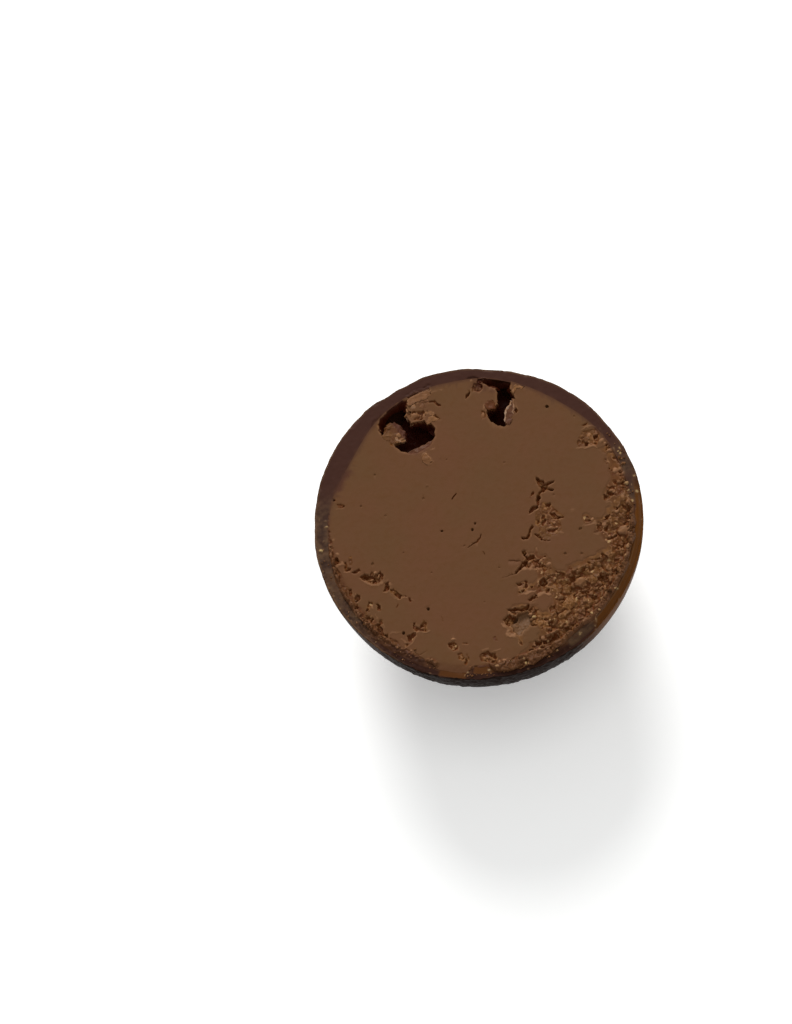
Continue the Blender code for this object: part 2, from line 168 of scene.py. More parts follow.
# Ragged tears: depth in mm, then the outline. Depths add up where tears overlap.
TEARS = (
    # the long tear at the lower left
     (0.45, ((-12.15, -3.0), (-11.95, -2.9), (-11.7, -3.3), (-11.85, -3.5), (-12.1, -3.35))),
     (0.5, ((-11.3, -3.35), (-11.1, -3.3), (-11.05, -3.8), (-10.75, -3.9), (-10.8, -4.1), (-11.2, -4.15),
        (-11.35, -3.9))),
     (0.12, ((-10.95, -2.9), (-10.7, -2.8), (-10.65, -3.7), (-10.9, -3.7))),
     (0.4, ((-10.65, -4.3), (-10.35, -4.1), (-10.1, -4.0), (-10.0, -4.2), (-10.2, -4.38), (-10.5, -4.4))),
     (0.38, ((-9.95, -4.75), (-9.6, -4.4), (-9.3, -4.5), (-9.0, -4.3), (-8.75, -4.45), (-8.5, -4.6), (-8.25, -4.3),
        (-8.05, -4.6), (-8.0, -4.95), (-8.3, -5.2), (-8.65, -5.45), (-9.05, -5.35), (-9.35, -5.15), (-9.75, -5.0))),
     (0.3, ((-9.65, -4.55), (-9.4, -4.6), (-8.9, -4.6), (-8.8, -4.85), (-9.3, -4.9), (-9.6, -4.8))),
     (0.3, ((-8.95, -5.1), (-8.7, -5.05), (-8.6, -5.4), (-8.85, -5.38))),
     (0.38, ((-7.8, -5.4), (-7.6, -5.3), (-7.5, -5.9), (-7.7, -6.1), (-8.0, -6.05), (-7.85, -5.85))),
     (0.4, ((-7.4, -6.0), (-7.1, -5.9), (-6.8, -6.15), (-6.55, -6.5), (-6.6, -6.8), (-6.85, -6.6), (-7.1, -6.35),
        (-7.35, -6.3))),
     (0.22, ((-6.55, -6.45), (-6.3, -6.5), (-6.1, -6.65), (-6.4, -6.7))),
     (0.25, ((-5.85, -6.75), (-5.7, -6.75), (-5.68, -7.1), (-5.8, -7.05))),
    # the crumbled margin at the lower left
     (0.4, ((-10.95, -5.8), (-10.75, -5.8), (-10.65, -6.2), (-10.75, -6.5), (-10.9, -6.35))),
     (0.45, ((-10.45, -6.6), (-10.25, -6.35), (-10.0, -6.4), (-10.0, -6.75), (-10.3, -6.95), (-10.5, -6.9))),
     (0.22, ((-10.3, -7.1), (-10.15, -7.2), (-10.0, -7.75), (-10.15, -7.85), (-10.25, -7.5))),
     (0.35, ((-9.2, -7.05), (-8.95, -7.1), (-9.0, -7.35), (-9.2, -7.6), (-9.4, -7.75), (-9.35, -7.4))),
     (0.35, ((-8.75, -7.2), (-8.45, -7.15), (-8.3, -7.4), (-8.25, -7.8), (-8.45, -7.75), (-8.5, -7.4))),
     (0.3, ((-9.35, -8.3), (-9.05, -8.25), (-8.85, -8.55), (-8.95, -8.95), (-9.3, -8.75), (-9.5, -8.6))),
     (0.35, ((-8.35, -8.6), (-8.1, -8.6), (-8.05, -8.95), (-8.25, -9.05), (-8.4, -8.9))),
     (0.45, ((-8.55, -9.05), (-8.3, -9.0), (-8.05, -9.5), (-7.95, -10.0), (-8.2, -10.15), (-8.4, -9.8),
        (-8.5, -9.4))),
     (0.3, ((-9.15, -9.45), (-8.9, -9.4), (-8.85, -9.75), (-9.1, -9.85))),
     (0.3, ((-8.3, -10.15), (-8.0, -10.1), (-7.9, -10.4), (-8.2, -10.5))),
     (0.25, ((-7.9, -9.95), (-7.6, -9.95), (-7.6, -10.25), (-7.85, -10.25))),
     (0.45, ((-5.95, -10.15), (-5.6, -10.0), (-5.25, -9.9), (-5.2, -10.1), (-5.45, -10.45), (-5.65, -10.75),
        (-5.9, -10.6))),
     (0.4, ((-5.5, -9.05), (-5.35, -9.0), (-5.2, -9.4), (-4.95, -9.5), (-4.8, -9.1), (-4.6, -8.85), (-4.35, -9.0),
        (-4.25, -9.6), (-4.4, -9.8), (-5.2, -9.8), (-5.4, -9.5))),
     (0.35, ((-6.15, -10.95), (-5.9, -10.95), (-5.95, -11.2), (-6.1, -11.15))),
     (0.35, ((-7.5, -11.1), (-7.2, -11.1), (-7.2, -11.4), (-7.45, -11.4))),
     (0.3, ((-6.75, -11.25), (-6.5, -11.3), (-6.45, -11.7), (-6.7, -11.7))),
    # the left edge
     (0.3, ((-11.95, 1.9), (-11.6, 1.95), (-11.3, 1.75), (-11.5, 1.6), (-11.8, 1.6))),
     (0.2, ((-12.45, 2.35), (-12.1, 2.35), (-12.1, 2.2), (-12.4, 2.2))),
    # the bottom
     (0.35, ((-2.45, -11.0), (-2.2, -10.85), (-1.85, -11.0), (-1.65, -11.25), (-1.75, -11.65), (-2.1, -11.6),
        (-2.4, -11.3))),
     (0.25, ((-1.7, -12.0), (-1.35, -11.9), (-1.15, -12.3), (-1.3, -12.6), (-1.6, -12.4))),
     (0.35, ((-1.15, -12.4), (-0.95, -12.3), (-0.9, -12.9), (-1.05, -13.1), (-1.15, -12.8))),
     (0.2, ((-0.9, -12.1), (-0.7, -12.3), (-0.7, -12.6), (-0.85, -12.5))),
     (0.15, ((-1.3, -11.0), (-0.9, -11.0), (-0.85, -11.12), (-1.3, -11.12))),
     (0.1, ((1.3, -10.6), (1.5, -10.55), (1.6, -10.9), (1.45, -10.9))),
     (0.32, ((0.1, -12.3), (0.3, -12.0), (0.6, -11.9), (0.9, -11.75), (1.1, -11.95), (1.45, -12.05), (1.6, -12.4),
        (1.5, -12.9), (1.2, -13.0), (0.8, -12.75), (0.3, -12.7))),
     (0.3, ((0.95, -11.85), (1.15, -11.95), (1.15, -12.25), (0.95, -12.15))),
     (0.3, ((1.32, -12.1), (1.5, -12.15), (1.55, -12.5), (1.35, -12.5))),
     (0.3, ((1.1, -12.6), (1.4, -12.6), (1.4, -12.95), (1.15, -12.9))),
    # pits of the torn field
     (0.5, ((3.75, -3.0), (4.0, -2.95), (4.15, -3.2), (3.95, -3.35), (3.8, -3.25))),
     (0.3, ((4.0, -3.4), (4.3, -3.3), (4.8, -3.35), (4.8, -3.7), (4.2, -3.75))),
     (0.6, ((4.3, -3.85), (4.15, -4.1), (4.0, -4.35), (3.7, -4.6), (3.35, -4.85), (3.2, -4.9), (3.5, -4.5),
        (3.65, -4.2), (3.8, -3.95), (4.05, -3.85))),
     (0.35, ((5.85, -3.8), (6.1, -3.75), (6.15, -4.0), (5.9, -4.05))),
     (0.6, ((5.15, -5.9), (5.3, -5.5), (5.55, -5.35), (5.8, -5.6), (5.9, -5.95), (5.6, -6.1), (5.25, -6.05))),
     (0.3, ((3.3, -5.9), (3.9, -5.85), (3.95, -6.0), (3.35, -6.05))),
     (0.35, ((3.95, -5.65), (4.15, -5.7), (4.2, -6.2), (4.05, -6.35), (3.95, -6.1))),
     (0.35, ((4.45, -6.15), (4.7, -6.15), (4.65, -6.4), (4.45, -6.4))),
     (0.45, ((3.45, -6.6), (3.7, -6.45), (3.95, -6.4), (4.0, -6.55), (3.75, -6.7), (3.5, -6.75))),
     (0.4, ((4.3, -7.35), (4.6, -7.1), (4.95, -6.95), (5.0, -7.2), (4.7, -7.35), (4.4, -7.45))),
     (0.55, ((2.6, -8.2), (3.1, -8.0), (3.6, -8.1), (4.0, -7.9), (4.3, -7.75), (4.35, -7.95), (4.1, -8.2),
        (3.7, -8.35), (3.2, -8.3))),
     (0.7, ((2.15, -9.05), (2.35, -8.8), (2.65, -8.55), (2.9, -8.8), (3.3, -8.85), (3.2, -9.2), (2.9, -9.45),
        (2.6, -9.6), (2.35, -9.45))),
     (0.45, ((3.35, -10.75), (3.55, -10.95), (3.7, -11.2), (3.7, -11.4), (3.5, -11.25), (3.4, -11.0))),
     (0.55, ((4.8, -11.15), (5.05, -11.05), (5.4, -11.1), (5.4, -11.35), (5.1, -11.45), (4.85, -11.35))),
     (0.35, ((4.4, -11.9), (4.65, -11.8), (4.8, -12.1), (4.65, -12.3), (4.45, -12.15))),
     (0.35, ((5.6, -12.0), (5.85, -12.0), (5.8, -12.4), (5.6, -12.3))),
     (0.3, ((5.5, -11.05), (5.8, -11.05), (5.8, -11.3), (5.55, -11.3))),
     (0.35, ((6.4, -10.5), (6.7, -10.4), (6.8, -10.8), (6.5, -10.9), (6.0, -11.1))),
     (0.35, ((7.1, -9.9), (7.6, -9.85), (7.7, -10.2), (7.4, -10.4), (7.1, -10.3))),
     (0.3, ((8.6, -9.5), (8.9, -9.2), (9.3, -9.1), (9.7, -9.2), (9.7, -9.5), (9.2, -9.6), (8.9, -9.8),
        (8.65, -9.8))),
     (0.3, ((7.65, -5.45), (8.2, -5.3), (8.6, -5.4), (8.5, -5.7), (7.9, -5.8))),
     (0.35, ((9.2, -3.85), (9.6, -3.7), (10.4, -3.75), (10.4, -3.95), (9.9, -4.05), (9.3, -4.0))),
     (0.25, ((11.5, -3.85), (11.9, -3.9), (11.85, -4.15), (11.5, -4.1))),
     (0.25, ((10.1, -5.5), (10.5, -5.4), (11.1, -5.25), (11.05, -5.55), (10.5, -5.75), (10.15, -5.7))),
     (0.25, ((8.6, -6.7), (9.2, -6.6), (9.4, -6.8), (8.9, -6.95))),
     (0.2, ((6.9, -6.75), (7.8, -6.8), (7.7, -7.0), (7.0, -6.95))),
    # the star-shaped crack and the tears under it
     (0.55, ((5.0, 3.65), (5.25, 3.45), (5.6, 3.35), (5.75, 3.1), (6.5, 3.3), (6.45, 3.15), (5.95, 2.9), (5.95, 2.65),
        (6.45, 2.5), (6.4, 2.4), (5.8, 2.5), (5.65, 2.35), (5.4, 2.3), (5.3, 2.0), (5.35, 1.75), (5.15, 1.7),
        (5.1, 2.1), (5.35, 2.5), (5.3, 2.8), (5.05, 3.05))),
     (0.4, ((5.35, 2.9), (5.6, 2.95), (5.8, 2.75), (5.65, 2.45), (5.45, 2.5))),
     (0.5, ((5.1, 2.1), (5.3, 2.05), (5.25, 1.6), (5.2, 1.1), (5.0, 1.0), (5.05, 1.6))),
     (0.6, ((4.35, 0.45), (4.5, 0.85), (4.75, 1.1), (5.1, 1.1), (5.15, 0.9), (4.85, 0.7), (4.6, 0.5))),
     (0.3, ((4.72, 2.3), (4.78, 2.15), (4.5, 1.78), (4.42, 1.85))),
     (0.42, ((5.7, 1.25), (6.0, 1.3), (6.25, 1.2), (6.15, 1.0), (5.8, 1.0))),
     (0.08, ((5.5, 1.1), (6.1, 1.0), (6.0, 0.3), (5.5, 0.2))),
     (0.42, ((6.2, 0.35), (6.5, 0.4), (6.75, 0.2), (7.0, 0.05), (7.0, -0.1), (6.6, -0.15), (6.3, 0.0))),
     (0.25, ((7.0, 0.05), (7.3, 0.0), (7.3, -0.1), (7.0, -0.1))),
     (0.3, ((5.0, -0.25), (5.25, -0.2), (5.3, -0.45), (5.05, -0.5))),
     (0.09, ((6.0, 0.0), (6.9, -0.1), (7.05, -0.5), (6.9, -1.0), (6.1, -1.05), (5.85, -0.5))),
     (0.32, ((5.9, -1.0), (6.1, -1.05), (6.5, -1.05), (6.8, -0.95), (6.85, -1.1), (6.4, -1.3), (6.05, -1.35))),
     (0.35, ((4.9, -1.45), (5.2, -1.5), (5.4, -1.8), (5.5, -2.0), (5.2, -1.9))),
     (0.42, ((4.6, -0.65), (4.7, -0.8), (4.55, -1.3), (4.4, -1.7), (4.2, -1.9), (3.8, -1.85), (3.75, -1.7),
        (4.1, -1.75), (4.3, -1.4))),
     (0.08, ((4.9, 1.2), (5.5, 1.35), (6.2, 1.3), (6.5, 0.7), (7.0, 0.4), (7.3, 0.0), (7.0, -0.5), (7.1, -1.2),
        (6.7, -1.6), (6.2, -1.7), (5.9, -2.0), (5.4, -2.0), (5.2, -1.5), (5.3, -0.9), (4.9, -0.5), (5.0, 0.4))),
     (0.3, ((5.5, 0.2), (5.75, 0.25), (5.8, -0.3), (5.55, -0.7), (5.4, -0.4))),
    # the right band
     (0.22, ((8.95, 0.05), (9.4, 0.0), (9.5, -0.3), (9.6, -0.5), (9.0, -0.6))),
     (0.3, ((10.2, -0.6), (10.5, -0.6), (10.6, -1.2), (10.3, -1.5), (9.95, -1.5), (10.15, -1.1))),
     (0.3, ((10.4, -0.4), (10.8, -0.15), (11.2, 0.1), (11.2, -0.2), (10.8, -0.5))),
     (0.28, ((11.2, 4.6), (11.45, 4.5), (11.5, 3.9), (11.3, 3.8))),
     (0.22, ((10.85, 5.1), (11.2, 5.1), (11.3, 4.7), (11.0, 4.6))),
     (0.28, ((11.35, 3.2), (11.8, 3.2), (11.8, 2.8), (11.4, 2.9))),
     (0.28, ((10.95, 2.6), (11.6, 2.6), (11.6, 2.35), (11.0, 2.4))),
     (0.25, ((10.75, 1.85), (11.0, 1.8), (11.0, 1.4), (10.8, 1.4))),
     (0.25, ((11.1, 2.2), (11.4, 2.1), (11.3, 1.8), (11.1, 1.9))),
     (0.28, ((11.5, 0.8), (11.9, 0.7), (11.9, 0.4), (11.6, 0.4))),
     (0.25, ((12.3, 0.9), (12.6, 0.8), (12.6, 0.5), (12.3, 0.6))),
    # the upper right
     (0.16, ((8.7, 7.2), (9.0, 7.7), (10.1, 7.85), (10.4, 7.4), (10.3, 6.5), (9.6, 6.4), (8.7, 6.35), (8.5, 6.7))),
     (0.45, ((9.9, 7.25), (10.25, 7.3), (10.2, 7.05), (9.95, 7.0))),
     (0.25, ((10.0, 7.0), (10.25, 7.0), (10.2, 6.4), (10.0, 6.45))),
     (0.35, ((9.15, 6.7), (9.45, 6.65), (9.4, 6.4), (9.2, 6.35))),
     (0.15, ((8.9, 7.2), (9.05, 7.1), (9.1, 6.6), (8.95, 6.6))),
     (0.5, ((10.95, 6.45), (11.15, 6.4), (11.1, 5.8), (10.95, 5.9))),
     (0.22, ((8.9, 8.2), (9.4, 8.45), (9.4, 8.3), (9.1, 8.1))),
    # around the left hole
     (0.35, ((-4.4, 10.97), (-3.9, 11.04), (-3.6, 11.08), (-3.45, 10.82), (-3.12, 10.65), (-3.1, 10.52),
        (-3.5, 10.62), (-3.75, 10.88), (-4.3, 10.85))),
     (0.22, ((-3.6, 9.77), (-3.45, 9.62), (-3.15, 9.32), (-3.2, 9.22), (-3.55, 9.5))),
     (0.3, ((-5.5, 10.1), (-5.0, 10.15), (-4.6, 10.2), (-4.4, 9.9), (-4.5, 9.5), (-4.9, 9.3), (-5.4, 9.4),
        (-5.7, 9.7))),
     (0.12, ((-5.95, 11.45), (-5.3, 11.88), (-4.7, 12.16), (-4.1, 12.3), (-4.05, 12.12), (-4.6, 12.0), (-5.2, 11.75),
        (-5.85, 11.35))),
     (0.1, ((-4.65, 5.9), (-4.35, 6.2), (-4.1, 5.9), (-3.9, 5.4), (-4.3, 5.25), (-4.6, 5.4))),
     (0.2, ((-7.45, 7.35), (-7.25, 7.3), (-7.15, 7.05), (-7.35, 7.1))),
    # around the right hole
     (0.45, ((-0.5, 12.1), (-0.25, 12.5), (0.1, 12.55), (0.45, 12.35), (0.45, 11.9), (0.2, 11.65), (-0.1, 11.75),
        (-0.4, 11.7))),
     (0.3, ((0.0, 12.6), (0.1, 12.95), (0.5, 13.0), (0.95, 12.8), (0.9, 12.5), (0.5, 12.4))),
     (0.5, ((-0.98, 11.1), (-0.92, 11.5), (-0.66, 11.8), (-0.58, 11.65), (-0.75, 11.35))),
     (0.4, ((3.0, 10.5), (3.15, 10.4), (3.45, 9.8), (3.35, 9.65), (3.1, 10.0))),
     (0.3, ((2.75, 9.3), (2.85, 9.2), (2.85, 8.7), (2.72, 8.7))),
     (0.35, ((3.7, 12.2), (3.95, 12.2), (4.05, 11.95), (3.85, 11.9))),
     (0.35, ((0.95, 10.72), (1.3, 10.8), (1.6, 10.6), (1.5, 10.3), (1.0, 10.2))),
     (0.15, ((0.4, 9.9), (0.8, 9.8), (0.7, 9.3), (0.4, 9.2))),
)
# Round dots where a bubble was cut: x, y, radius and depth in mm.
DOTS = (
    (-4.2, -7.86, 0.11, 0.4), (-6.25, -9.92, 0.11, 0.4), (-3.04, -0.84, 0.09, 0.3), (-0.41, -0.87, 0.09, 0.3),
    (5.98, 10.07, 0.13, 0.45), (-8.95, -3.6, 0.1, 0.1), (8.75, -1.15, 0.13, 0.12), (7.4, -3.35, 0.12, 0.1),
    (8.8, -3.4, 0.1, 0.08), (-0.21, -0.28, 0.1, 0.2), (-4.6, 2.13, 0.11, 0.06), (-9.92, 1.63, 0.09, 0.08),
    (-7.82, 0.71, 0.09, 0.06), (-8.75, 4.49, 0.09, 0.08), (6.5, 2.0, 0.1, 0.05), (-4.26, 3.29, 0.06, -0.05),
    (-1.1, -2.3, 0.08, 0.06), (1.8, -4.4, 0.08, 0.06), (-2.6, 5.6, 0.07, 0.05), (2.3, 5.1, 0.07, 0.05),
    (-6.3, -2.7, 0.07, 0.06), (-3.9, -4.6, 0.08, 0.05), (0.6, -7.4, 0.07, 0.05), (8.3, 9.1, 0.07, 0.06),
)
# Fine cracks: depth in mm, then x, y and width along each one.
CRACKS = (
     (0.25, ((5.4, -1.95, 0.08), (5.8, -2.03, 0.1), (6.15, -2.08, 0.04))),
     (0.2, ((2.6, -3.78, 0.04), (3.1, -3.8, 0.07), (3.7, -3.88, 0.05))),
     (0.14, ((2.0, -5.35, 0.03), (2.6, -5.15, 0.06), (3.25, -4.92, 0.06))),
     (0.28, ((-1.84, 2.48, 0.05), (-1.98, 2.22, 0.14), (-2.14, 1.95, 0.05))),
     (0.28, ((0.3, -1.25, 0.05), (0.22, -1.6, 0.12), (0.0, -1.92, 0.16), (-0.4, -2.15, 0.1),
        (-0.8, -2.5, 0.03))),
     (0.2, ((0.5, -2.85, 0.05), (0.6, -3.05, 0.08))),
     (0.16, ((-6.72, -7.25, 0.04), (-6.82, -7.45, 0.09), (-6.94, -7.68, 0.03))),
     (0.16, ((-3.1, -8.6, 0.03), (-2.95, -9.0, 0.05))),
     (0.1, ((-4.3, -11.6, 0.04), (-4.9, -11.9, 0.1), (-5.4, -11.75, 0.04))),
     (0.22, ((-4.05, 12.05, 0.06), (-3.95, 11.75, 0.08), (-4.3, 11.4, 0.1), (-4.7, 11.1, 0.05))),
     (0.1, ((-4.9, 10.75, 0.05), (-4.7, 10.8, 0.08), (-4.4, 10.9, 0.05))),
     (0.2, ((-4.35, 10.05, 0.05), (-3.95, 9.98, 0.08), (-3.7, 9.7, 0.1))),
)
# Edges that stand up and catch the light: height in mm, paleness (painted paler, partly as a dry edge and partly as a
# painted highlight), then x, y and width along each one.
LIPS = (
     (0.1, 0.9, ((-12.15, -4.05, 0.15), (-11.95, -3.7, 0.22), (-11.55, -3.5, 0.25), (-11.3, -3.5, 0.12))),
     (0.05, 0.8, ((-11.35, -4.25, 0.1), (-10.85, -4.22, 0.12))),
     (0.08, 0.9, ((-9.85, -5.05, 0.08), (-9.3, -5.35, 0.15), (-8.9, -5.52, 0.15), (-8.5, -5.55, 0.15),
        (-8.15, -5.32, 0.26), (-7.95, -5.05, 0.12))),
     (0.06, 0.5, ((-7.75, -5.1, 0.1), (-7.7, -5.5, 0.1))),
     (0.05, 0.6, ((-8.1, -6.15, 0.06), (-7.7, -6.2, 0.1))),
     (0.04, 0.5, ((-7.4, -6.35, 0.06), (-6.9, -6.75, 0.08))),
     (0.06, 0.8, ((-6.65, -6.9, 0.1), (-6.4, -6.75, 0.15), (-6.1, -6.75, 0.12), (-5.95, -6.9, 0.08))),
     (0.04, 0.5, ((-5.65, -6.85, 0.1), (-5.6, -7.05, 0.08))),
     (0.05, 0.6, ((-10.7, -6.1, 0.08), (-10.6, -6.5, 0.12))),
     (0.05, 0.7, ((-10.4, -6.2, 0.1), (-10.3, -6.45, 0.14))),
     (0.05, 0.6, ((-10.55, -7.0, 0.08), (-10.15, -7.1, 0.14))),
     (0.06, 0.8, ((-10.4, -7.85, 0.08), (-10.25, -8.2, 0.15), (-9.85, -8.55, 0.15), (-9.3, -8.5, 0.12))),
     (0.05, 0.7, ((-9.05, -7.45, 0.1), (-8.8, -7.6, 0.16))),
     (0.05, 0.6, ((-8.65, -8.15, 0.06), (-8.55, -8.55, 0.12))),
     (0.05, 0.6, ((-8.05, -8.85, 0.06), (-7.95, -9.35, 0.1))),
     (0.05, 0.6, ((-8.85, -9.1, 0.1), (-8.7, -9.5, 0.12))),
     (0.05, 0.7, ((-8.5, -10.2, 0.08), (-8.2, -10.35, 0.12))),
     (0.07, 0.6, ((-7.45, -10.4, 0.08), (-7.35, -9.95, 0.12), (-7.05, -9.75, 0.14), (-6.7, -9.9, 0.08),
        (-6.4, -9.8, 0.06))),
     (0.06, 0.8, ((-6.45, -10.5, 0.12), (-6.1, -10.9, 0.12))),
     (0.09, 0.9, ((-6.05, -11.3, 0.1), (-5.6, -10.9, 0.12), (-5.3, -10.5, 0.1), (-5.1, -10.2, 0.08))),
     (0.09, 0.9, ((-5.35, -9.98, 0.12), (-4.9, -9.92, 0.16), (-4.5, -9.9, 0.14), (-4.1, -9.8, 0.1))),
     (0.05, 0.7, ((-1.6, -11.3, 0.06), (-1.65, -11.8, 0.1))),
     (0.04, 0.7, ((-1.35, -11.2, 0.06), (-0.75, -11.18, 0.08))),
     (0.06, 0.8, ((0.45, -11.8, 0.08), (0.85, -11.68, 0.12))),
     (0.07, 0.9, ((1.25, -11.98, 0.08), (1.75, -11.8, 0.14))),
     (0.05, 0.6, ((1.5, -10.95, 0.08), (1.7, -11.1, 0.08))),
     (0.12, 0.9, ((4.97, -2.75, 0.14), (4.87, -3.3, 0.2))),
     (0.09, 1.3, ((3.35, -4.92, 0.08), (3.9, -4.65, 0.22), (4.5, -4.5, 0.24), (4.85, -4.72, 0.16))),
     (0.1, 1.3, ((4.9, -4.5, 0.14), (5.25, -4.6, 0.22), (5.5, -5.0, 0.14))),
     (0.09, 1.2, ((3.75, -6.87, 0.1), (4.2, -6.66, 0.2), (4.85, -6.55, 0.14))),
     (0.1, 1.3, ((4.98, -7.12, 0.12), (5.3, -6.9, 0.24), (5.7, -6.86, 0.24), (6.2, -6.98, 0.18))),
     (0.1, 0.8, ((6.45, -7.0, 0.1), (6.7, -7.5, 0.1))),
     (0.1, 1.2, ((2.15, -9.5, 0.2), (2.62, -10.02, 0.3))),
     (0.1, 1.3, ((2.5, -10.45, 0.26), (3.15, -10.62, 0.34), (3.3, -10.85, 0.2), (3.6, -11.42, 0.1))),
     (0.4, 0.9, ((5.8, -10.65, 0.15), (6.2, -10.45, 0.25), (6.75, -10.0, 0.15))),
     (0.3, 1.0, ((5.95, -11.85, 0.08), (5.6, -12.1, 0.08))),
     (0.3, 0.9, ((8.6, -6.3, 0.1), (8.95, -6.5, 0.14), (9.2, -6.25, 0.1))),
     (0.3, 0.8, ((9.0, -5.4, 0.08), (9.3, -5.55, 0.1))),
     (0.3, 0.8, ((9.25, -5.75, 0.1), (9.4, -5.9, 0.08))),
     (0.35, 0.9, ((10.65, -6.45, 0.12), (10.8, -7.1, 0.14))),
     (0.3, 0.7, ((10.6, -4.9, 0.12), (10.8, -5.2, 0.16))),
     (0.06, 0.8, ((5.95, 2.72, 0.06), (6.3, 3.0, 0.1), (6.52, 3.12, 0.06))),
     (0.06, 0.7, ((5.4, 2.22, 0.1), (5.75, 2.38, 0.12))),
     (0.05, 0.5, ((5.35, 1.5, 0.08), (5.42, 1.9, 0.08))),
     (0.06, 0.8, ((4.3, 0.33, 0.05), (4.65, 0.42, 0.08), (4.95, 0.63, 0.08), (5.22, 0.8, 0.05))),
     (0.06, 0.8, ((6.32, 0.85, 0.08), (6.12, 0.42, 0.12))),
     (0.12, 0.8, ((6.1, -0.12, 0.08), (6.6, -0.22, 0.1))),
     (0.08, 0.8, ((6.25, -1.52, 0.1), (6.75, -1.35, 0.16), (7.15, -1.52, 0.08))),
     (0.06, 0.9, ((4.56, -1.28, 0.08), (4.6, -1.72, 0.14))),
     (0.06, 0.9, ((9.0, -0.82, 0.06), (9.5, -0.73, 0.1), (10.0, -0.56, 0.14), (10.05, -0.8, 0.08))),
     (0.05, 0.6, ((9.95, -1.62, 0.06), (10.4, -1.72, 0.08))),
     (0.05, 0.8, ((10.9, 1.18, 0.06), (11.3, 1.18, 0.1))),
     (0.08, 0.9, ((8.85, 7.88, 0.08), (9.25, 8.06, 0.14), (9.8, 8.08, 0.14), (10.2, 7.96, 0.1))),
     (0.1, 1.0, ((8.45, 6.12, 0.08), (9.0, 6.22, 0.14), (9.5, 6.25, 0.14), (9.9, 6.38, 0.18),
        (10.2, 6.15, 0.1))),
     (0.08, 0.6, ((10.52, 7.85, 0.12), (10.6, 7.2, 0.12))),
     (0.12, 0.8, ((11.0, 5.65, 0.1), (11.3, 5.9, 0.2), (11.65, 6.05, 0.12))),
     (0.05, 0.9, ((-3.98, 12.3, 0.1), (-3.9, 11.85, 0.1))),
     (0.05, 0.9, ((-3.88, 11.82, 0.12), (-3.4, 11.95, 0.12), (-2.9, 11.95, 0.06))),
     (0.08, 0.7, ((-6.0, 10.85, 0.1), (-5.93, 11.1, 0.12), (-5.6, 11.38, 0.1), (-5.2, 11.6, 0.1),
        (-4.7, 11.8, 0.1), (-4.3, 11.96, 0.1), (-4.05, 11.92, 0.08))),
     (0.08, 0.9, ((-5.55, 10.4, 0.12), (-5.4, 10.62, 0.2))),
     (0.05, 0.7, ((-5.1, 10.8, 0.08), (-4.6, 10.98, 0.12))),
     (0.06, 0.9, ((-4.3, 9.85, 0.12), (-3.8, 9.87, 0.12))),
     (0.06, 0.9, ((-4.22, 9.12, 0.12), (-4.0, 9.42, 0.16), (-3.65, 9.5, 0.1), (-3.35, 9.25, 0.06))),
     (0.08, 1.0, ((-4.7, 5.95, 0.08), (-4.55, 6.12, 0.12), (-4.35, 6.27, 0.08))),
     (0.06, 0.6, ((-4.2, 6.12, 0.08), (-3.82, 5.5, 0.08))),
     (0.08, 1.0, ((-4.65, 5.32, 0.1), (-4.3, 5.16, 0.14), (-3.95, 5.27, 0.08))),
     (0.05, 0.8, ((-1.02, 11.05, 0.05), (-0.62, 11.52, 0.1), (-0.5, 11.8, 0.1))),
     (0.05, 0.6, ((-0.45, 11.7, 0.06), (0.0, 11.58, 0.1), (0.5, 11.85, 0.08))),
     (0.08, 1.0, ((2.52, 9.4, 0.12), (2.62, 9.95, 0.16), (2.98, 10.3, 0.1), (3.08, 10.9, 0.08))),
     (0.06, 0.9, ((3.05, 11.5, 0.08), (3.18, 11.97, 0.1), (3.7, 12.05, 0.08))),
     (0.05, 0.7, ((3.2, 10.55, 0.05), (3.42, 9.95, 0.06))),
     (0.05, 1.1, ((0.56, 9.95, 0.08), (0.64, 10.35, 0.14))),
     (0.05, 0.9, ((-11.95, 1.52, 0.06), (-11.7, 1.5, 0.1), (-11.4, 1.52, 0.06))),
     (0.04, 0.7, ((-12.45, 2.13, 0.08), (-12.15, 2.1, 0.06))),
)
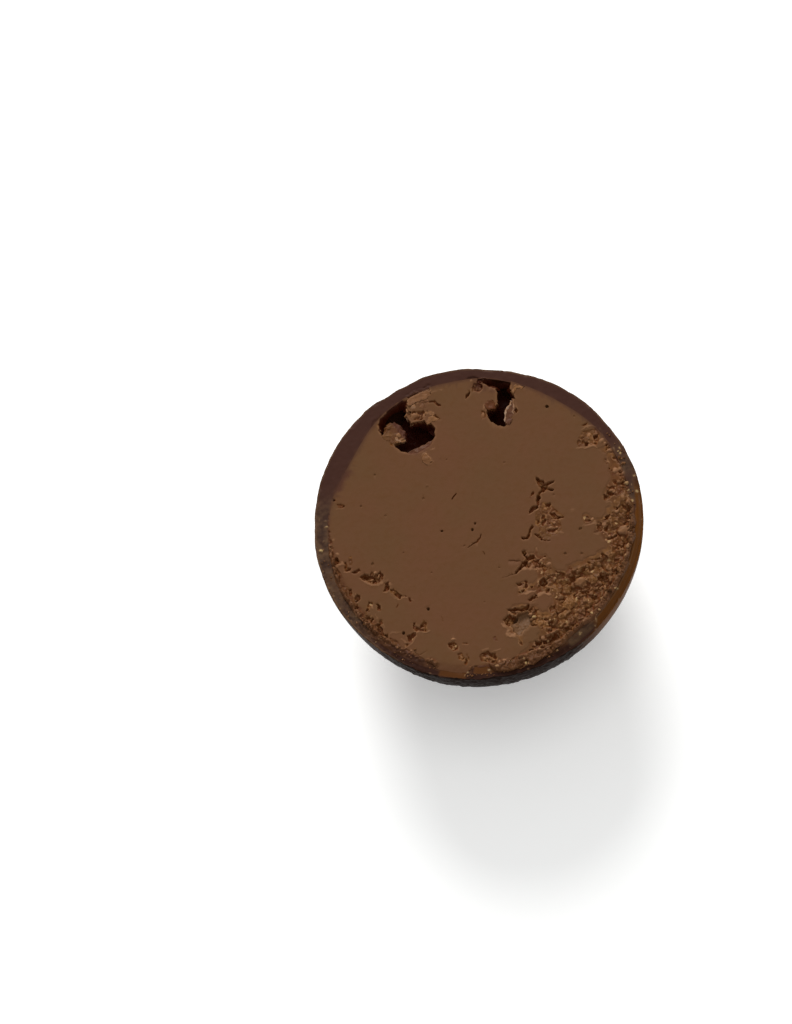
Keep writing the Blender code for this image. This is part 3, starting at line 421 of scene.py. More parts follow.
# Single crumbs: x, y, half length, half width, top above the cut in mm, paleness, turn in degrees.
CRUMBS = (
    (-2.1, -10.62, 0.2, 0.13, 0.12, 1.0, 15.0), (-8.72, -4.42, 0.1, 0.2, 0.04, 0.9, -30.0),
    (-8.4, -4.68, 0.09, 0.22, -0.02, 0.6, -20.0), (-7.45, -5.5, 0.1, 0.2, 0.04, 0.5, 0.0),
    (-8.95, -7.42, 0.11, 0.16, 0.05, 0.8, 20.0), (-5.6, -11.5, 0.1, 0.08, 0.05, 0.7, 0.0),
    (4.4, -3.97, 0.2, 0.13, 0.04, 0.8, 30.0), (5.3, -3.9, 0.26, 0.15, 0.06, 0.8, 50.0),
    (5.62, -3.7, 0.22, 0.13, 0.04, 0.6, 0.0), (6.02, -4.22, 0.22, 0.15, 0.04, 0.7, 20.0),
    (3.6, -6.22, 0.3, 0.16, -0.02, 0.5, 0.0), (4.42, -8.62, 0.22, 0.2, -0.05, 0.8, 0.0),
    (4.72, -8.9, 0.24, 0.15, 0.1, 1.3, 20.0), (4.5, -9.12, 0.15, 0.1, 0.02, 1.0, 0.0),
    (11.7, 4.02, 0.28, 0.25, 0.1, 0.9, 0.0), (12.12, 4.12, 0.22, 0.19, 0.08, 0.8, 0.0),
    (12.42, 3.76, 0.16, 0.21, 0.06, 0.8, 0.0), (12.32, 1.62, 0.12, 0.16, 0.08, 0.8, 0.0),
    (12.7, 1.1, 0.1, 0.22, 0.1, 1.0, -15.0), (12.4, -1.4, 0.55, 0.5, 0.02, 0.4, 0.0),
    (9.72, -0.33, 0.18, 0.14, 0.05, 1.0, 30.0), (10.6, 6.8, 0.28, 0.2, 0.08, 0.8, 20.0),
    (10.9, 6.52, 0.15, 0.16, 0.05, 0.7, 0.0), (11.25, 5.85, 0.27, 0.2, 0.08, 0.7, 0.0),
    (11.66, 5.95, 0.12, 0.2, 0.06, 0.7, 0.0), (9.9, -7.1, 0.12, 0.11, 0.02, 1.2, 0.0),
    (10.42, -7.5, 0.16, 0.1, 0.02, 1.1, 20.0), (9.6, -8.65, 0.16, 0.09, 0.02, 1.0, 20.0),
    (9.95, -9.3, 0.11, 0.26, 0.02, 1.1, 5.0), (6.5, -0.5, 0.13, 0.12, 0.02, 0.9, 0.0),
    (6.2, -0.9, 0.15, 0.1, 0.02, 0.8, 0.0), (6.75, -0.88, 0.14, 0.1, 0.02, 0.8, 0.0),
    (8.02, 0.64, 0.12, 0.1, 0.03, 0.3, 0.0), (10.72, -0.78, 0.26, 0.18, 0.0, 0.6, 30.0),
    (11.2, -1.9, 0.12, 0.14, 0.04, 1.0, 0.0), (10.92, -2.28, 0.16, 0.09, 0.02, 0.8, -30.0),
    (5.45, -10.75, 0.2, 0.15, 0.0, 0.7, 0.0), (6.08, -9.22, 0.16, 0.1, 0.05, 1.2, 30.0),
    (8.7, -5.85, 0.6, 0.52, -0.02, 0.3, 0.0), (11.8, 0.27, 0.22, 0.13, 0.02, 0.8, 20.0),
    (2.76, -12.8, 0.13, 0.1, 0.1, 1.4, 0.0), (4.05, -13.08, 0.1, 0.18, 0.1, 1.4, -25.0),
    (4.28, -13.05, 0.08, 0.16, 0.1, 1.3, 20.0), (3.9, -12.74, 0.1, 0.09, 0.08, 1.3, 0.0),
    (0.92, -13.52, 0.2, 0.1, 0.08, 1.1, 10.0), (-0.88, -13.66, 0.15, 0.1, 0.08, 1.3, 20.0),
    (1.76, -12.82, 0.1, 0.2, 0.05, 1.0, 0.0), (2.22, -12.64, 0.2, 0.1, 0.05, 1.0, 0.0),
    (1.62, -13.28, 0.2, 0.1, 0.08, 1.1, -20.0), (-12.85, -0.12, 0.2, 0.09, 0.08, 1.3, 12.0),
    (-13.28, -2.22, 0.2, 0.19, 0.14, 1.5, 0.0), (-12.98, 0.46, 0.16, 0.06, 0.05, 0.8, -20.0),
    (-13.45, 0.55, 0.05, 0.16, 0.04, 0.6, 0.0), (-13.1, -1.4, 0.07, 0.12, 0.05, 0.7, -20.0),
    (-12.55, -1.8, 0.14, 0.12, 0.06, 0.7, 0.0), (-12.4, -2.2, 0.16, 0.15, 0.07, 0.7, 0.0),
    (-12.45, -2.75, 0.17, 0.13, 0.07, 0.7, 0.0), (-11.9, -2.55, 0.14, 0.1, 0.04, 0.8, 0.0),
    (-12.25, -1.3, 0.12, 0.1, 0.03, 0.5, 0.0), (-13.15, -4.12, 0.1, 0.12, 0.05, 0.9, 0.0),
    (-12.6, -5.73, 0.1, 0.14, 0.06, 1.0, 20.0), (-12.22, -6.37, 0.1, 0.08, 0.06, 1.0, 0.0),
    (-11.63, -7.49, 0.1, 0.08, 0.06, 1.1, 0.0), (-10.3, -8.27, 0.1, 0.16, 0.06, 0.9, 30.0),
    (-10.75, -8.62, 0.1, 0.08, 0.05, 0.8, 0.0), (-10.07, -9.64, 0.14, 0.07, 0.06, 1.1, 0.0),
    (-9.09, -10.72, 0.14, 0.08, 0.06, 1.1, -30.0), (-7.8, -11.8, 0.15, 0.08, 0.06, 1.1, -30.0),
    (-4.07, -13.58, 0.08, 0.07, 0.05, 0.8, 0.0), (-0.5, 12.72, 0.14, 0.12, 0.06, 0.8, 0.0),
    (-5.4, 9.78, 0.3, 0.26, 0.0, 0.4, 20.0), (-4.55, 9.7, 0.12, 0.26, -0.05, 0.5, 0.0),
    (0.62, 10.3, 0.08, 0.22, 0.02, 0.9, 10.0), (0.5, 9.5, 0.16, 0.3, 0.03, 0.4, -10.0),
    (-3.75, 6.62, 0.1, 0.07, 0.03, 0.7, 20.0),
)

# The mouths of the two holes beside the coat.
LEFT_MOUTH = (
    (-8.62, 9.05), (-8.4, 9.4), (-8.05, 9.9), (-7.75, 10.2), (-7.45, 10.55), (-7.1, 10.8), (-6.8, 11.05),
    (-6.5, 11.2), (-6.2, 11.15), (-5.98, 11.25), (-5.95, 10.9), (-6.02, 10.55), (-5.9, 10.2), (-5.6, 10.12),
    (-5.75, 9.95), (-6.1, 9.75), (-5.95, 9.5), (-5.75, 9.3), (-5.75, 9.05), (-5.3, 9.15), (-4.9, 9.2), (-4.5, 9.25),
    (-4.3, 9.02), (-3.9, 9.05), (-3.68, 8.75), (-3.55, 8.3), (-3.6, 7.9), (-3.75, 7.5), (-4.1, 7.2), (-4.6, 6.95),
    (-5.1, 6.72), (-5.5, 6.55), (-6.0, 6.45), (-6.5, 6.6), (-6.95, 7.05), (-6.9, 7.6), (-7.3, 8.1), (-7.9, 8.4),
    (-8.15, 8.05), (-8.35, 8.55),
)
RIGHT_MOUTH = (
    (1.62, 11.6), (1.7, 11.3), (1.65, 11.0), (1.75, 10.5), (1.5, 10.3), (1.2, 10.1), (0.9, 10.0), (0.9, 9.7),
    (1.0, 9.3), (1.12, 9.2), (1.2, 8.9), (1.5, 8.75), (1.75, 8.55), (2.2, 8.47), (2.45, 8.5), (2.6, 8.7), (2.5, 9.1),
    (2.45, 9.5), (2.4, 9.9), (2.6, 10.1), (2.85, 10.3), (2.95, 10.8), (3.02, 11.0), (3.3, 10.9), (3.02, 11.35),
    (2.9, 11.8), (3.0, 12.15), (2.85, 12.7), (2.2, 12.95), (1.5, 13.05), (0.9, 12.98), (0.4, 12.75), (0.5, 12.45),
    (0.9, 12.2), (1.3, 12.05), (1.6, 11.9),
)
# The sloping wall under the left hole.
LEFT_SLOPE = (
    (-7.0, 7.25), (-6.8, 6.7), (-6.3, 6.35), (-5.7, 6.18), (-5.1, 6.22), (-4.6, 6.4), (-4.1, 6.75), (-3.7, 7.2),
    (-3.6, 7.6), (-5.0, 7.6), (-6.0, 7.4), (-6.6, 7.4),
)
# Stains on the smooth cut, redder or darker than the rest, and painted shade on the sloping wall under the left hole:
# strength, then the outline.
STAINS_AND_SHADE = (
     (0.8, ((-12.35, 3.0), (-11.8, 4.6), (-10.9, 5.2), (-10.7, 4.9), (-11.3, 3.9), (-11.45, 3.0))),
     (0.45, ((-0.6, 12.1), (-0.2, 12.9), (0.5, 13.0), (1.2, 12.4), (1.6, 11.9), (1.5, 11.4), (0.9, 11.7),
        (0.0, 11.6))),
     # painted shade on the sloping wall under the left hole
     (0.9, ((-6.2, 6.45), (-5.7, 6.2), (-5.1, 6.25), (-4.5, 6.5), (-4.0, 6.85), (-3.7, 7.3), (-3.9, 7.6),
        (-5.0, 7.0))),
)
# Where the coat's cut is torn and crumbly: how much, then the outline.
RING_TORN = (
     (1.0, ((-1.2, 12.7), (-0.7, 13.1), (-0.3, 13.2), (0.1, 13.0), (0.9, 12.9), (1.0, 12.6), (0.3, 12.4),
        (-0.6, 12.4))),
     (0.7, ((-9.1, 8.7), (-8.9, 9.3), (-8.3, 9.9), (-8.1, 9.7), (-8.7, 8.8))),
     (0.8, ((-6.4, 11.2), (-6.1, 11.7), (-5.2, 12.2), (-4.2, 12.6), (-3.9, 12.4), (-4.8, 12.0), (-6.0, 11.1))),
     (0.9, ((-9.6, -8.2), (-9.0, -9.3), (-7.6, -10.6), (-6.2, -11.5), (-4.6, -12.2), (-4.4, -12.6), (-5.8, -12.2),
        (-7.6, -11.3), (-9.2, -10.0), (-10.3, -8.9))),
     (0.6, ((7.5, -9.9), (8.6, -9.7), (9.3, -9.8), (9.0, -10.3), (8.2, -11.1), (7.6, -11.4), (7.2, -10.8))),
)
# Caverns under the mouths: x, y, z, half length, half width and half height in mm, turn in degrees.
CAVERNS = (
    (-5.05, 7.95, -2.3, 1.45, 1.3, 1.9, 0.0),
    (-6.1, 7.9, -2.4, 1.2, 1.05, 1.7, 0.0),
    (-5.95, 9.1, -2.2, 0.85, 1.1, 1.7, 0.0),
    (-6.9, 9.7, -2.1, 1.7, 1.05, 1.7, 42.0),
    (1.8, 9.4, -2.2, 0.95, 1.0, 1.9, 0.0),
    (2.2, 10.5, -2.1, 0.8, 1.1, 1.7, 0.0),
    (2.1, 11.6, -1.9, 1.05, 0.9, 1.5, 0.0),
)
# Flakes and curls that hang over the holes: name, lowest and highest z in mm, where it starts to bend and
# where it has bent by how much (x, y, x, y, mm down), paleness, tone, pink and rusty tints, outline.
FLAKES = (
     ("knob", -1.1, 0.02, (-7.5, 8.1, -6.3, 9.0, 0.45), 0.05, 0.4, 1.0, 0.0, ((-8.0, 8.0), (-7.9, 8.3), (-7.8, 8.9),
        (-7.5, 9.2), (-7.2, 9.3), (-6.9, 9.2), (-6.5, 8.9), (-6.2, 8.5), (-6.1, 8.1), (-6.15, 7.7), (-6.4, 7.6),
        (-6.5, 7.4), (-6.75, 7.4), (-6.95, 7.2), (-7.3, 7.3))),
     ("knob_lump_upper", -0.45, 0.05, (-6.8, 7.9, -6.5, 8.1, 0.1), 1.0, 0.8, 0.0, 0.0, ((-6.95, 7.85), (-6.88, 8.05),
        (-6.7, 8.12), (-6.52, 8.0), (-6.55, 7.82), (-6.75, 7.76))),
     ("knob_lump_left", -0.45, 0.06, (-6.9, 7.7, -6.8, 7.4, 0.1), 1.05, 0.8, 0.0, 0.0, ((-7.0, 7.6), (-6.98, 7.78),
        (-6.8, 7.82), (-6.68, 7.7), (-6.7, 7.5), (-6.85, 7.42))),
     ("knob_lump_right", -0.5, 0.02, (-6.5, 7.6, -6.3, 7.6, 0.1), 0.9, 0.8, 0.0, 0.2, ((-6.62, 7.55), (-6.6, 7.75),
        (-6.4, 7.85), (-6.2, 7.8), (-6.12, 7.65), (-6.3, 7.45), (-6.5, 7.4))),
     ("overhang", -0.14, 0.05, (-4.8, 11.6, -6.0, 11.0, -0.1), 0.5, 0.7, 0.4, 0.0, ((-6.0, 10.8), (-5.97, 11.15),
        (-5.6, 11.42), (-5.2, 11.63), (-4.7, 11.84), (-4.3, 12.03), (-4.0, 12.0), (-3.95, 11.6), (-4.2, 11.3),
        (-4.6, 11.1), (-5.1, 11.0), (-5.5, 10.72), (-5.8, 10.6))),
     ("under_layer", -0.5, 0.0, (-4.9, 10.8, -5.8, 10.4, 0.15), 0.35, 0.6, 0.4, 0.3, ((-5.95, 10.35), (-5.85, 10.85),
        (-5.4, 11.15), (-5.0, 11.3), (-4.5, 11.4), (-4.0, 11.1), (-4.2, 10.5), (-4.7, 10.35), (-5.1, 10.35),
        (-5.6, 10.2))),
     ("pale_lump", -0.3, 0.06, (-5.4, 10.6, -5.4, 10.3, 0.1), 1.1, 0.9, 0.0, 0.0, ((-5.62, 10.42), (-5.55, 10.65),
        (-5.35, 10.72), (-5.25, 10.55), (-5.35, 10.35), (-5.5, 10.32))),
     ("small_lump", -0.35, -0.02, (-5.1, 10.7, -5.1, 10.4, 0.1), 0.7, 0.9, 0.0, 0.0, ((-5.2, 10.5), (-5.15, 10.72),
        (-4.95, 10.8), (-4.8, 10.68), (-4.9, 10.5), (-5.05, 10.44))),
     ("brown_lump", -1.0, -0.22, (-5.2, 9.9, -5.6, 9.6, 0.2), 0.0, 0.2, 0.45, 1.0, ((-5.75, 9.9), (-5.5, 10.2),
        (-5.1, 10.3), (-4.8, 10.25), (-4.6, 9.95), (-4.75, 9.6), (-5.2, 9.45), (-5.6, 9.55))),
     ("tip", -0.9, -0.45, (-5.4, 9.5, -5.7, 9.0, 0.25), 0.3, 0.6, 0.0, 0.5, ((-5.8, 8.98), (-5.72, 9.5),
        (-5.4, 9.7), (-5.15, 9.55), (-5.25, 9.3), (-5.55, 9.2))),
     ("far_lump", -0.6, -0.25, (-6.0, 9.9, -6.1, 9.7, 0.1), 0.4, 0.6, 0.0, 0.3, ((-6.15, 9.78), (-6.0, 10.05),
        (-5.8, 10.15), (-5.65, 9.98), (-5.75, 9.8), (-5.95, 9.7))),
     ("upper_flap", -0.35, 0.03, (-4.0, 9.9, -4.4, 9.9, 0.1), 0.55, 0.8, 0.1, 0.0, ((-4.45, 9.9), (-4.3, 10.12),
        (-3.9, 10.05), (-3.6, 9.95), (-3.6, 9.7), (-3.95, 9.68), (-4.25, 9.75))),
     ("lower_flap", -0.4, 0.04, (-3.8, 9.3, -4.3, 9.1, 0.12), 0.6, 0.8, 0.1, 0.0, ((-4.32, 9.05), (-4.25, 9.4),
        (-4.0, 9.6), (-3.5, 9.5), (-3.25, 9.3), (-3.4, 9.1), (-3.75, 9.2), (-4.0, 9.02))),
     ("fringe_upper", -0.45, -0.05, (-6.0, 10.3, -6.1, 10.1, 0.1), 0.9, 0.9, 0.0, 0.0, ((-6.12, 10.1), (-6.1, 10.3),
        (-5.95, 10.4), (-5.82, 10.25), (-5.9, 10.08))),
     ("fringe_middle", -0.6, -0.18, (-5.9, 9.7, -6.0, 9.6, 0.1), 0.8, 0.9, 0.0, 0.0, ((-6.12, 9.55), (-6.05, 9.72),
        (-5.9, 9.78), (-5.78, 9.66), (-5.86, 9.5))),
     ("fringe_low", -0.6, -0.25, (-5.6, 9.2, -5.7, 9.1, 0.1), 0.8, 0.9, 0.0, 0.0, ((-5.76, 9.05), (-5.7, 9.25),
        (-5.55, 9.3), (-5.42, 9.18), (-5.52, 9.02))),
     ("ledge", -0.6, -0.2, (-5.0, 6.7, -5.0, 7.0, 0.06), 0.1, 0.5, 0.75, 0.0, ((-6.1, 6.42), (-5.6, 6.66),
        (-5.1, 6.93), (-4.6, 7.18), (-4.2, 7.42), (-3.85, 7.55), (-3.75, 7.25), (-4.2, 6.9), (-4.8, 6.55),
        (-5.4, 6.3), (-5.9, 6.25))),
     ("scrap", -0.08, 0.1, (-4.2, 5.9, -4.1, 5.2, 0.04), 0.25, 0.8, 0.3, 0.0, ((-4.72, 6.0), (-4.55, 6.22),
        (-4.35, 6.3), (-4.15, 6.05), (-3.85, 5.6), (-3.92, 5.35), (-4.25, 5.15), (-4.6, 5.3), (-4.68, 5.6))),
     ("pink_flake", -0.45, 0.03, (2.8, 9.6, 2.3, 9.7, -0.06), 0.2, 0.75, 0.85, 0.0, ((2.45, 8.6), (2.36, 9.2),
        (2.42, 9.8), (2.68, 10.25), (2.92, 10.5), (3.0, 10.9), (3.15, 10.8), (3.1, 10.3), (3.2, 9.9), (3.1, 9.4),
        (2.95, 9.1), (2.9, 8.8), (2.7, 8.55))),
     ("white_edge", -0.4, 0.1, (2.6, 9.6, 2.3, 9.7, 0.02), 1.2, 0.9, 0.0, 0.0, ((2.38, 9.3), (2.42, 9.8),
        (2.6, 10.15), (2.85, 10.4), (2.88, 10.75), (3.0, 10.72), (2.98, 10.3), (2.75, 10.05), (2.58, 9.8), (2.5, 9.3),
        (2.52, 8.95), (2.42, 8.9))),
     ("flake_ridge", -0.4, 0.06, (3.0, 9.9, 3.2, 9.9, 0.1), 0.7, 0.8, 0.4, 0.0, ((3.0, 9.5), (3.02, 10.0),
        (3.1, 10.45), (3.22, 10.4), (3.2, 9.9), (3.3, 9.6), (3.2, 9.4))),
     ("orange_crumb", -0.9, 0.08, (1.1, 10.4, 1.6, 10.5, 0.2), 0.0, 0.3, 0.35, 1.0, ((0.8, 10.1), (0.72, 10.35),
        (0.86, 10.6), (0.95, 10.9), (1.2, 10.95), (1.35, 10.78), (1.55, 10.75), (1.7, 10.5), (1.5, 10.35),
        (1.62, 10.15), (1.3, 10.0), (1.1, 10.1), (0.95, 9.98))),
     ("plate", -0.4, 0.04, (3.4, 12.0, 3.0, 11.6, -0.05), 0.35, 0.7, 0.0, 0.0, ((2.93, 11.48), (3.08, 11.95),
        (3.4, 12.12), (3.92, 12.08), (3.9, 11.84), (3.45, 11.74), (3.2, 11.42))),
)
# Loose crumbs: azimuths in degrees, distances in mm from the middle, how many, smallest and largest in mm, and
# how rare the pale ones are.
SCATTERED = (
    (-60.0, 27.0, 12.7, 13.35, 70, 0.06, 0.19, 6.0),
    (-84.0, -60.0, 12.95, 13.9, 75, 0.05, 0.14, 6.0),
    (-96.0, -84.0, 13.8, 14.05, 14, 0.05, 0.1, 1.5),
    (-172.0, -105.0, 12.35, 13.2, 30, 0.04, 0.12, 6.0),
    (-172.0, -105.0, 13.25, 13.85, 44, 0.03, 0.09, 1.0),
    (20.0, 34.0, 12.6, 13.9, 9, 0.05, 0.13, 6.0),
)


def linear(hex_colour):
    """A #rrggbb colour as linear red, green and blue."""
    parts = [int(hex_colour[i : i + 2], 16) / 255.0 for i in (1, 3, 5)]
    return [p / 12.92 if p <= 0.04045 else ((p + 0.055) / 1.055) ** 2.4 for p in parts]


def grain(point, size, seed):
    """Smooth noise from -1 to 1. point holds x, y and z in mm, and size is one lump's width in mm."""
    lattice = np.random.default_rng(seed).uniform(-1.0, 1.0, (GRAIN_CELLS,) * 3)
    low = []
    share = []
    for along in point:
        steps = np.asarray(along, float) / size
        whole = np.floor(steps)
        low.append(whole.astype(int))
        part = steps - whole
        share.append(part * part * (3.0 - 2.0 * part))
    total = 0.0
    for corner in itertools.product((0, 1), repeat=3):
        index = tuple((low[axis] + corner[axis]) % GRAIN_CELLS for axis in range(3))
        weight = 1.0
        for axis in range(3):
            weight = weight * (share[axis] if corner[axis] else 1.0 - share[axis])
        total = total + weight * lattice[index]
    return total


def rough(point, size, seed, octaves=3):
    """Noise with finer and finer lumps, from about -1 to 1."""
    total = 0.0
    for octave in range(octaves):
        total = total + grain(point, size / 2**octave, seed + octave) / 2**octave
    return total / 1.5


def smooth(values, low, high):
    """0 below low, 1 above high, and a smooth rise between them."""
    share = np.clip((values - low) / (high - low), 0.0, 1.0)
    return share * share * (3.0 - 2.0 * share)


def away(azimuth, middle):
    """How many degrees azimuth is past middle, from -180 to 180."""
    return (azimuth - middle + 180.0) % 360.0 - 180.0


def band(offset, reach, full):
    """1 where offset is within full of 0, 0 where it is beyond reach, and smooth between them."""
    return smooth(-np.abs(offset), -reach, -full)


def sector(azimuth, middle, reach, full):
    """1 within full degrees of the middle azimuth, 0 beyond reach degrees, and smooth between them."""
    return band(away(azimuth, middle), reach, full)


def inside_outline(x, y, outline):
    """Distance in mm to a closed outline, positive inside it."""
    nearest = np.full(x.shape, np.inf)
    inside = np.zeros(x.shape, bool)
    for (ax, ay), (bx, by) in zip(outline, outline[1:] + outline[:1]):
        run, rise = bx - ax, by - ay
        along = np.clip(((x - ax) * run + (y - ay) * rise) / (run * run + rise * rise), 0.0, 1.0)
        nearest = np.minimum(nearest, np.hypot(x - ax - along * run, y - ay - along * rise))
        if rise:
            inside ^= ((ay > y) != (by > y)) & (x < run * (y - ay) / rise + ax)
    return np.where(inside, nearest, -nearest)


def along_line(x, y, course):
    """The distance in mm to a line of points x, y, width, and the width at the nearest place."""
    nearest = np.full(x.shape, np.inf)
    width = np.zeros(x.shape)
    for (ax, ay, start), (bx, by, end) in zip(course, course[1:]):
        run, rise = bx - ax, by - ay
        along = np.clip(((x - ax) * run + (y - ay) * rise) / (run * run + rise * rise), 0.0, 1.0)
        off = np.hypot(x - ax - along * run, y - ay - along * rise)
        closer = off < nearest
        nearest = np.where(closer, off, nearest)
        width = np.where(closer, start + (end - start) * along, width)
    return nearest, width


def window(axis, points, margin=0.4):
    """The rows and columns of the map around some points, each of them x and y first."""
    spans = []
    for part in (1, 0):
        values = [point[part] for point in points]
        first, last = np.searchsorted(axis, (min(values) - margin, max(values) + margin))
        spans.append(slice(first, last))
    return tuple(spans)


def by_azimuth(table, azimuth):
    """Reads a table of azimuths in degrees and values, round the whole circle."""
    return np.interp(azimuth, *zip(*table), period=360.0)


def coat_wall(azimuth, at_the_cut=1.0):
    """The coat's wall in mm at an azimuth in degrees. at_the_cut is 1 there and 0 under the ball."""
    extra = 0.0
    for middle, reach, swell in COAT_SWELLS:
        extra = extra + swell * np.exp(-((away(azimuth, middle) / reach) ** 2))
    return COAT_WALL + extra * at_the_cut


def beyond_wall(far, azimuth):
    """How far a point of the cut lies beyond the coat's inner edge, in mm."""
    return far - RADIUS_MM + coat_wall(azimuth)


def soft_rim(azimuth):
    """Where the knife pulled the coat's edge down and left it rounded and orange, from 0 to 1."""
    return sector(azimuth, -25.0, 41.0, 30.0)


def clean_edge(azimuth):
    """Where the knife went cleanly through the ganache that lies on the coat, from 0 to 1."""
    return sector(azimuth, -99.0, 7.5, 5.0)


def ganache_on_coat(azimuth):
    """Where ganache lies on the coat's cut, from 0 to 1."""
    return smooth(by_azimuth(OVERLAP, azimuth), 0.0, 0.1)


def crumb_field(axis, bent, torn, seed, count, radii, heights, flat):
    """Overlapping crumbs on the torn floor: their height in mm, and a tone from 0 to 1 for each crumb."""
    rng = np.random.default_rng(seed)
    field = np.zeros(torn.shape)
    tone = np.full(torn.shape, 0.5)
    reach, step = axis[-1], axis[1] - axis[0]
    middle = rng.uniform(-reach, reach, (count, 2))
    radius = rng.uniform(0.0, 1.0, count) ** 1.7 * (radii[1] - radii[0]) + radii[0]
    height = rng.uniform(heights[0], heights[1], count) * (0.6 + 0.4 * radius / radii[1])
    tilt = rng.normal(0.0, 0.16, (count, 2))
    stretch = rng.uniform(0.6, 1.0, count)
    turn = rng.uniform(0.0, math.pi, count)
    shade = rng.uniform(0.0, 1.0, count)
    for i in range(count):
        column, row = np.round((middle[i] + reach) / step).astype(int)
        if torn[row, column] < 0.05:
            continue
        cells = int(1.3 * radius[i] / step) + 3
        place = (slice(max(0, row - cells), row + cells + 1), slice(max(0, column - cells), column + cells + 1))
        dx = bent[0][place] - middle[i, 0]
        dy = bent[1][place] - middle[i, 1]
        along = dx * math.cos(turn[i]) + dy * math.sin(turn[i])
        across = (dy * math.cos(turn[i]) - dx * math.sin(turn[i])) / stretch[i]
        share = np.clip(1.0 - (along**2 + across**2) / radius[i] ** 2, 0.0, 1.0)
        top = height[i] * share**flat + (tilt[i, 0] * dx + tilt[i, 1] * dy) * (share > 0.0)
        higher = top > field[place]
        field[place] = np.where(higher, top, field[place])
        tone[place] = np.where(higher, shade[i], tone[place])
    return field, tone


def patch_of(cut, outline, low, high):
    """The window of the map around an outline, and how far inside it each place is, from 0 to 1."""
    place = window(cut.axis, outline)
    return place, smooth(inside_outline(cut.bent[0][place], cut.bent[1][place], outline), low, high)


def plan_the_cut():
    """The grid of the cut in mm, plain and bent by small waves, and where it lies over the coat."""
    axis = np.arange(-MAP_REACH, MAP_REACH + MAP_STEP / 2.0, MAP_STEP)
    x, y = np.meshgrid(axis, axis)
    far = np.hypot(x, y)
    azimuth = np.degrees(np.arctan2(y, x))
    small_x = 0.045 * grain((x, y, 0.0), 0.34, 12) + 0.03 * grain((x, y, 0.0), 0.15, 15)
    small_y = 0.045 * grain((x, y, 5.0), 0.34, 14) + 0.03 * grain((x, y, 5.0), 0.15, 16)
    fine = (x + small_x, y + small_y)
    bent_x = x + 0.10 * grain((x, y, 0.0), 0.9, 11) + 2.0 * small_x
    bent_y = y + 0.10 * grain((x, y, 5.0), 0.9, 13) + 2.0 * small_y
    return SimpleNamespace(
        axis=axis, x=x, y=y, flat=(x, y, 0.0), far=far, azimuth=azimuth,
        over_coat=beyond_wall(far, azimuth), clean=clean_edge(azimuth), covered=ganache_on_coat(azimuth),
        fine=fine, shaken=(fine[0] + small_x, fine[1] + small_y), bent=(bent_x, bent_y),
        ragged=grain((x, y, 2.0), 0.3, 17), slack=0.5 + 0.5 * grain((x, y, 2.0), 0.55, 18),
    )


def tear_the_cut(cut):
    """Where the ganache tore: the large field, its bare floor, the crumbled margin and single tears."""
    cut.inside = inside_outline(*cut.shaken, TORN_FIELD)
    cut.field = smooth(cut.inside, -0.02, 0.06)
    cut.bare = smooth(inside_outline(*cut.fine, SMOOTH_FLOOR), -0.10, 0.15)
    width = by_azimuth(CRUMBLED, cut.azimuth)
    uneven = 0.7 + 0.6 * cut.ragged + 0.5 * (cut.slack - 0.5)
    margin = smooth(cut.over_coat + width * uneven, -0.03, 0.12) * smooth(width, 0.02, 0.15)
    cut.margin = margin * (1.0 - cut.field) * (1.0 - cut.clean)
    torn = np.maximum(cut.field, cut.covered * (1.0 - cut.clean) * smooth(cut.over_coat, -0.2, 0.0))
    cut.torn = np.maximum(torn, cut.margin)
    cut.tears = np.zeros(cut.x.shape)
    for depth, outline in TEARS:
        place = window(cut.axis, outline)
        ragged = cut.ragged[place]
        reach = inside_outline(cut.fine[0][place], cut.fine[1][place], outline) + 0.05 * ragged
        deep = smooth(reach, -0.05, 0.03 + 0.07 * cut.slack[place]) + 0.08 * smooth(reach, -0.16, 0.0)
        cut.tears[place] += depth * deep * (1.0 + 0.25 * ragged)
        cut.torn[place] = np.maximum(cut.torn[place], smooth(reach, -0.07, 0.0))


def crumble_the_cut(cut):
    """The first height of the cut: a faintly waved plane, and crumbs on the floors of all that tore."""
    jagged = (
        cut.bent[0] + 0.13 * grain((cut.x, cut.y, 1.0), 0.26, 35),
        cut.bent[1] + 0.13 * grain((cut.x, cut.y, 7.0), 0.26, 36),
    )
    cut.lumps, lump_tone = crumb_field(cut.axis, jagged, cut.torn, **LUMPS)
    cut.grains, grain_tone = crumb_field(cut.axis, cut.fine, cut.torn, **GRAINS)
    cut.crumbs = cut.lumps + 0.60 * cut.grains + 0.06 * rough(cut.flat, 0.34, 37)
    tone = 0.50 * lump_tone + 0.40 * grain_tone + 0.10 + 0.15 * grain(cut.flat, 1.6, 24)
    cut.tone = tone * (1.0 - 0.7 * cut.bare) * (1.0 - 0.5 * cut.margin)

    dip = 0.035 * smooth(cut.inside, -0.18, 0.0)
    floor = FLOOR_STEP * smooth(cut.inside / (0.12 + 0.30 * cut.slack), -0.02, 1.0)
    floor = floor + FLOOR_STEP * smooth(cut.inside, 0.3, 1.3) + 0.05 * cut.bare
    floor = floor * (1.0 - 0.30 * smooth(cut.y, -1.0, 1.5)) + 0.10 * cut.field * rough(cut.flat, 1.8, 21)
    floor = floor + dip + 0.16 * cut.margin
    wave = 0.012 * grain(cut.flat, 3.0, 25) + 0.005 * grain(cut.flat, 0.9, 26)
    height = wave - floor + (cut.field * (1.0 - 0.75 * cut.bare) + 0.55 * cut.margin) * cut.crumbs
    in_tears = np.clip(cut.tears / 0.3, 0.0, 1.0) * (1.0 - cut.field)
    height = height - TEAR_SHARE * cut.tears + in_tears * (0.40 * cut.lumps + cut.grains - 0.11)
    cut.height = np.minimum(height, wave - dip + 0.09 * smooth(cut.inside, 0.2, 0.9))
    cut.flecks = 1.25 * smooth(grain_tone, 0.950, 0.965) * smooth(cut.grains, 0.05, 0.09)
    cut.pale = cut.flecks * np.maximum(cut.field, in_tears) * (1.0 - cut.bare)


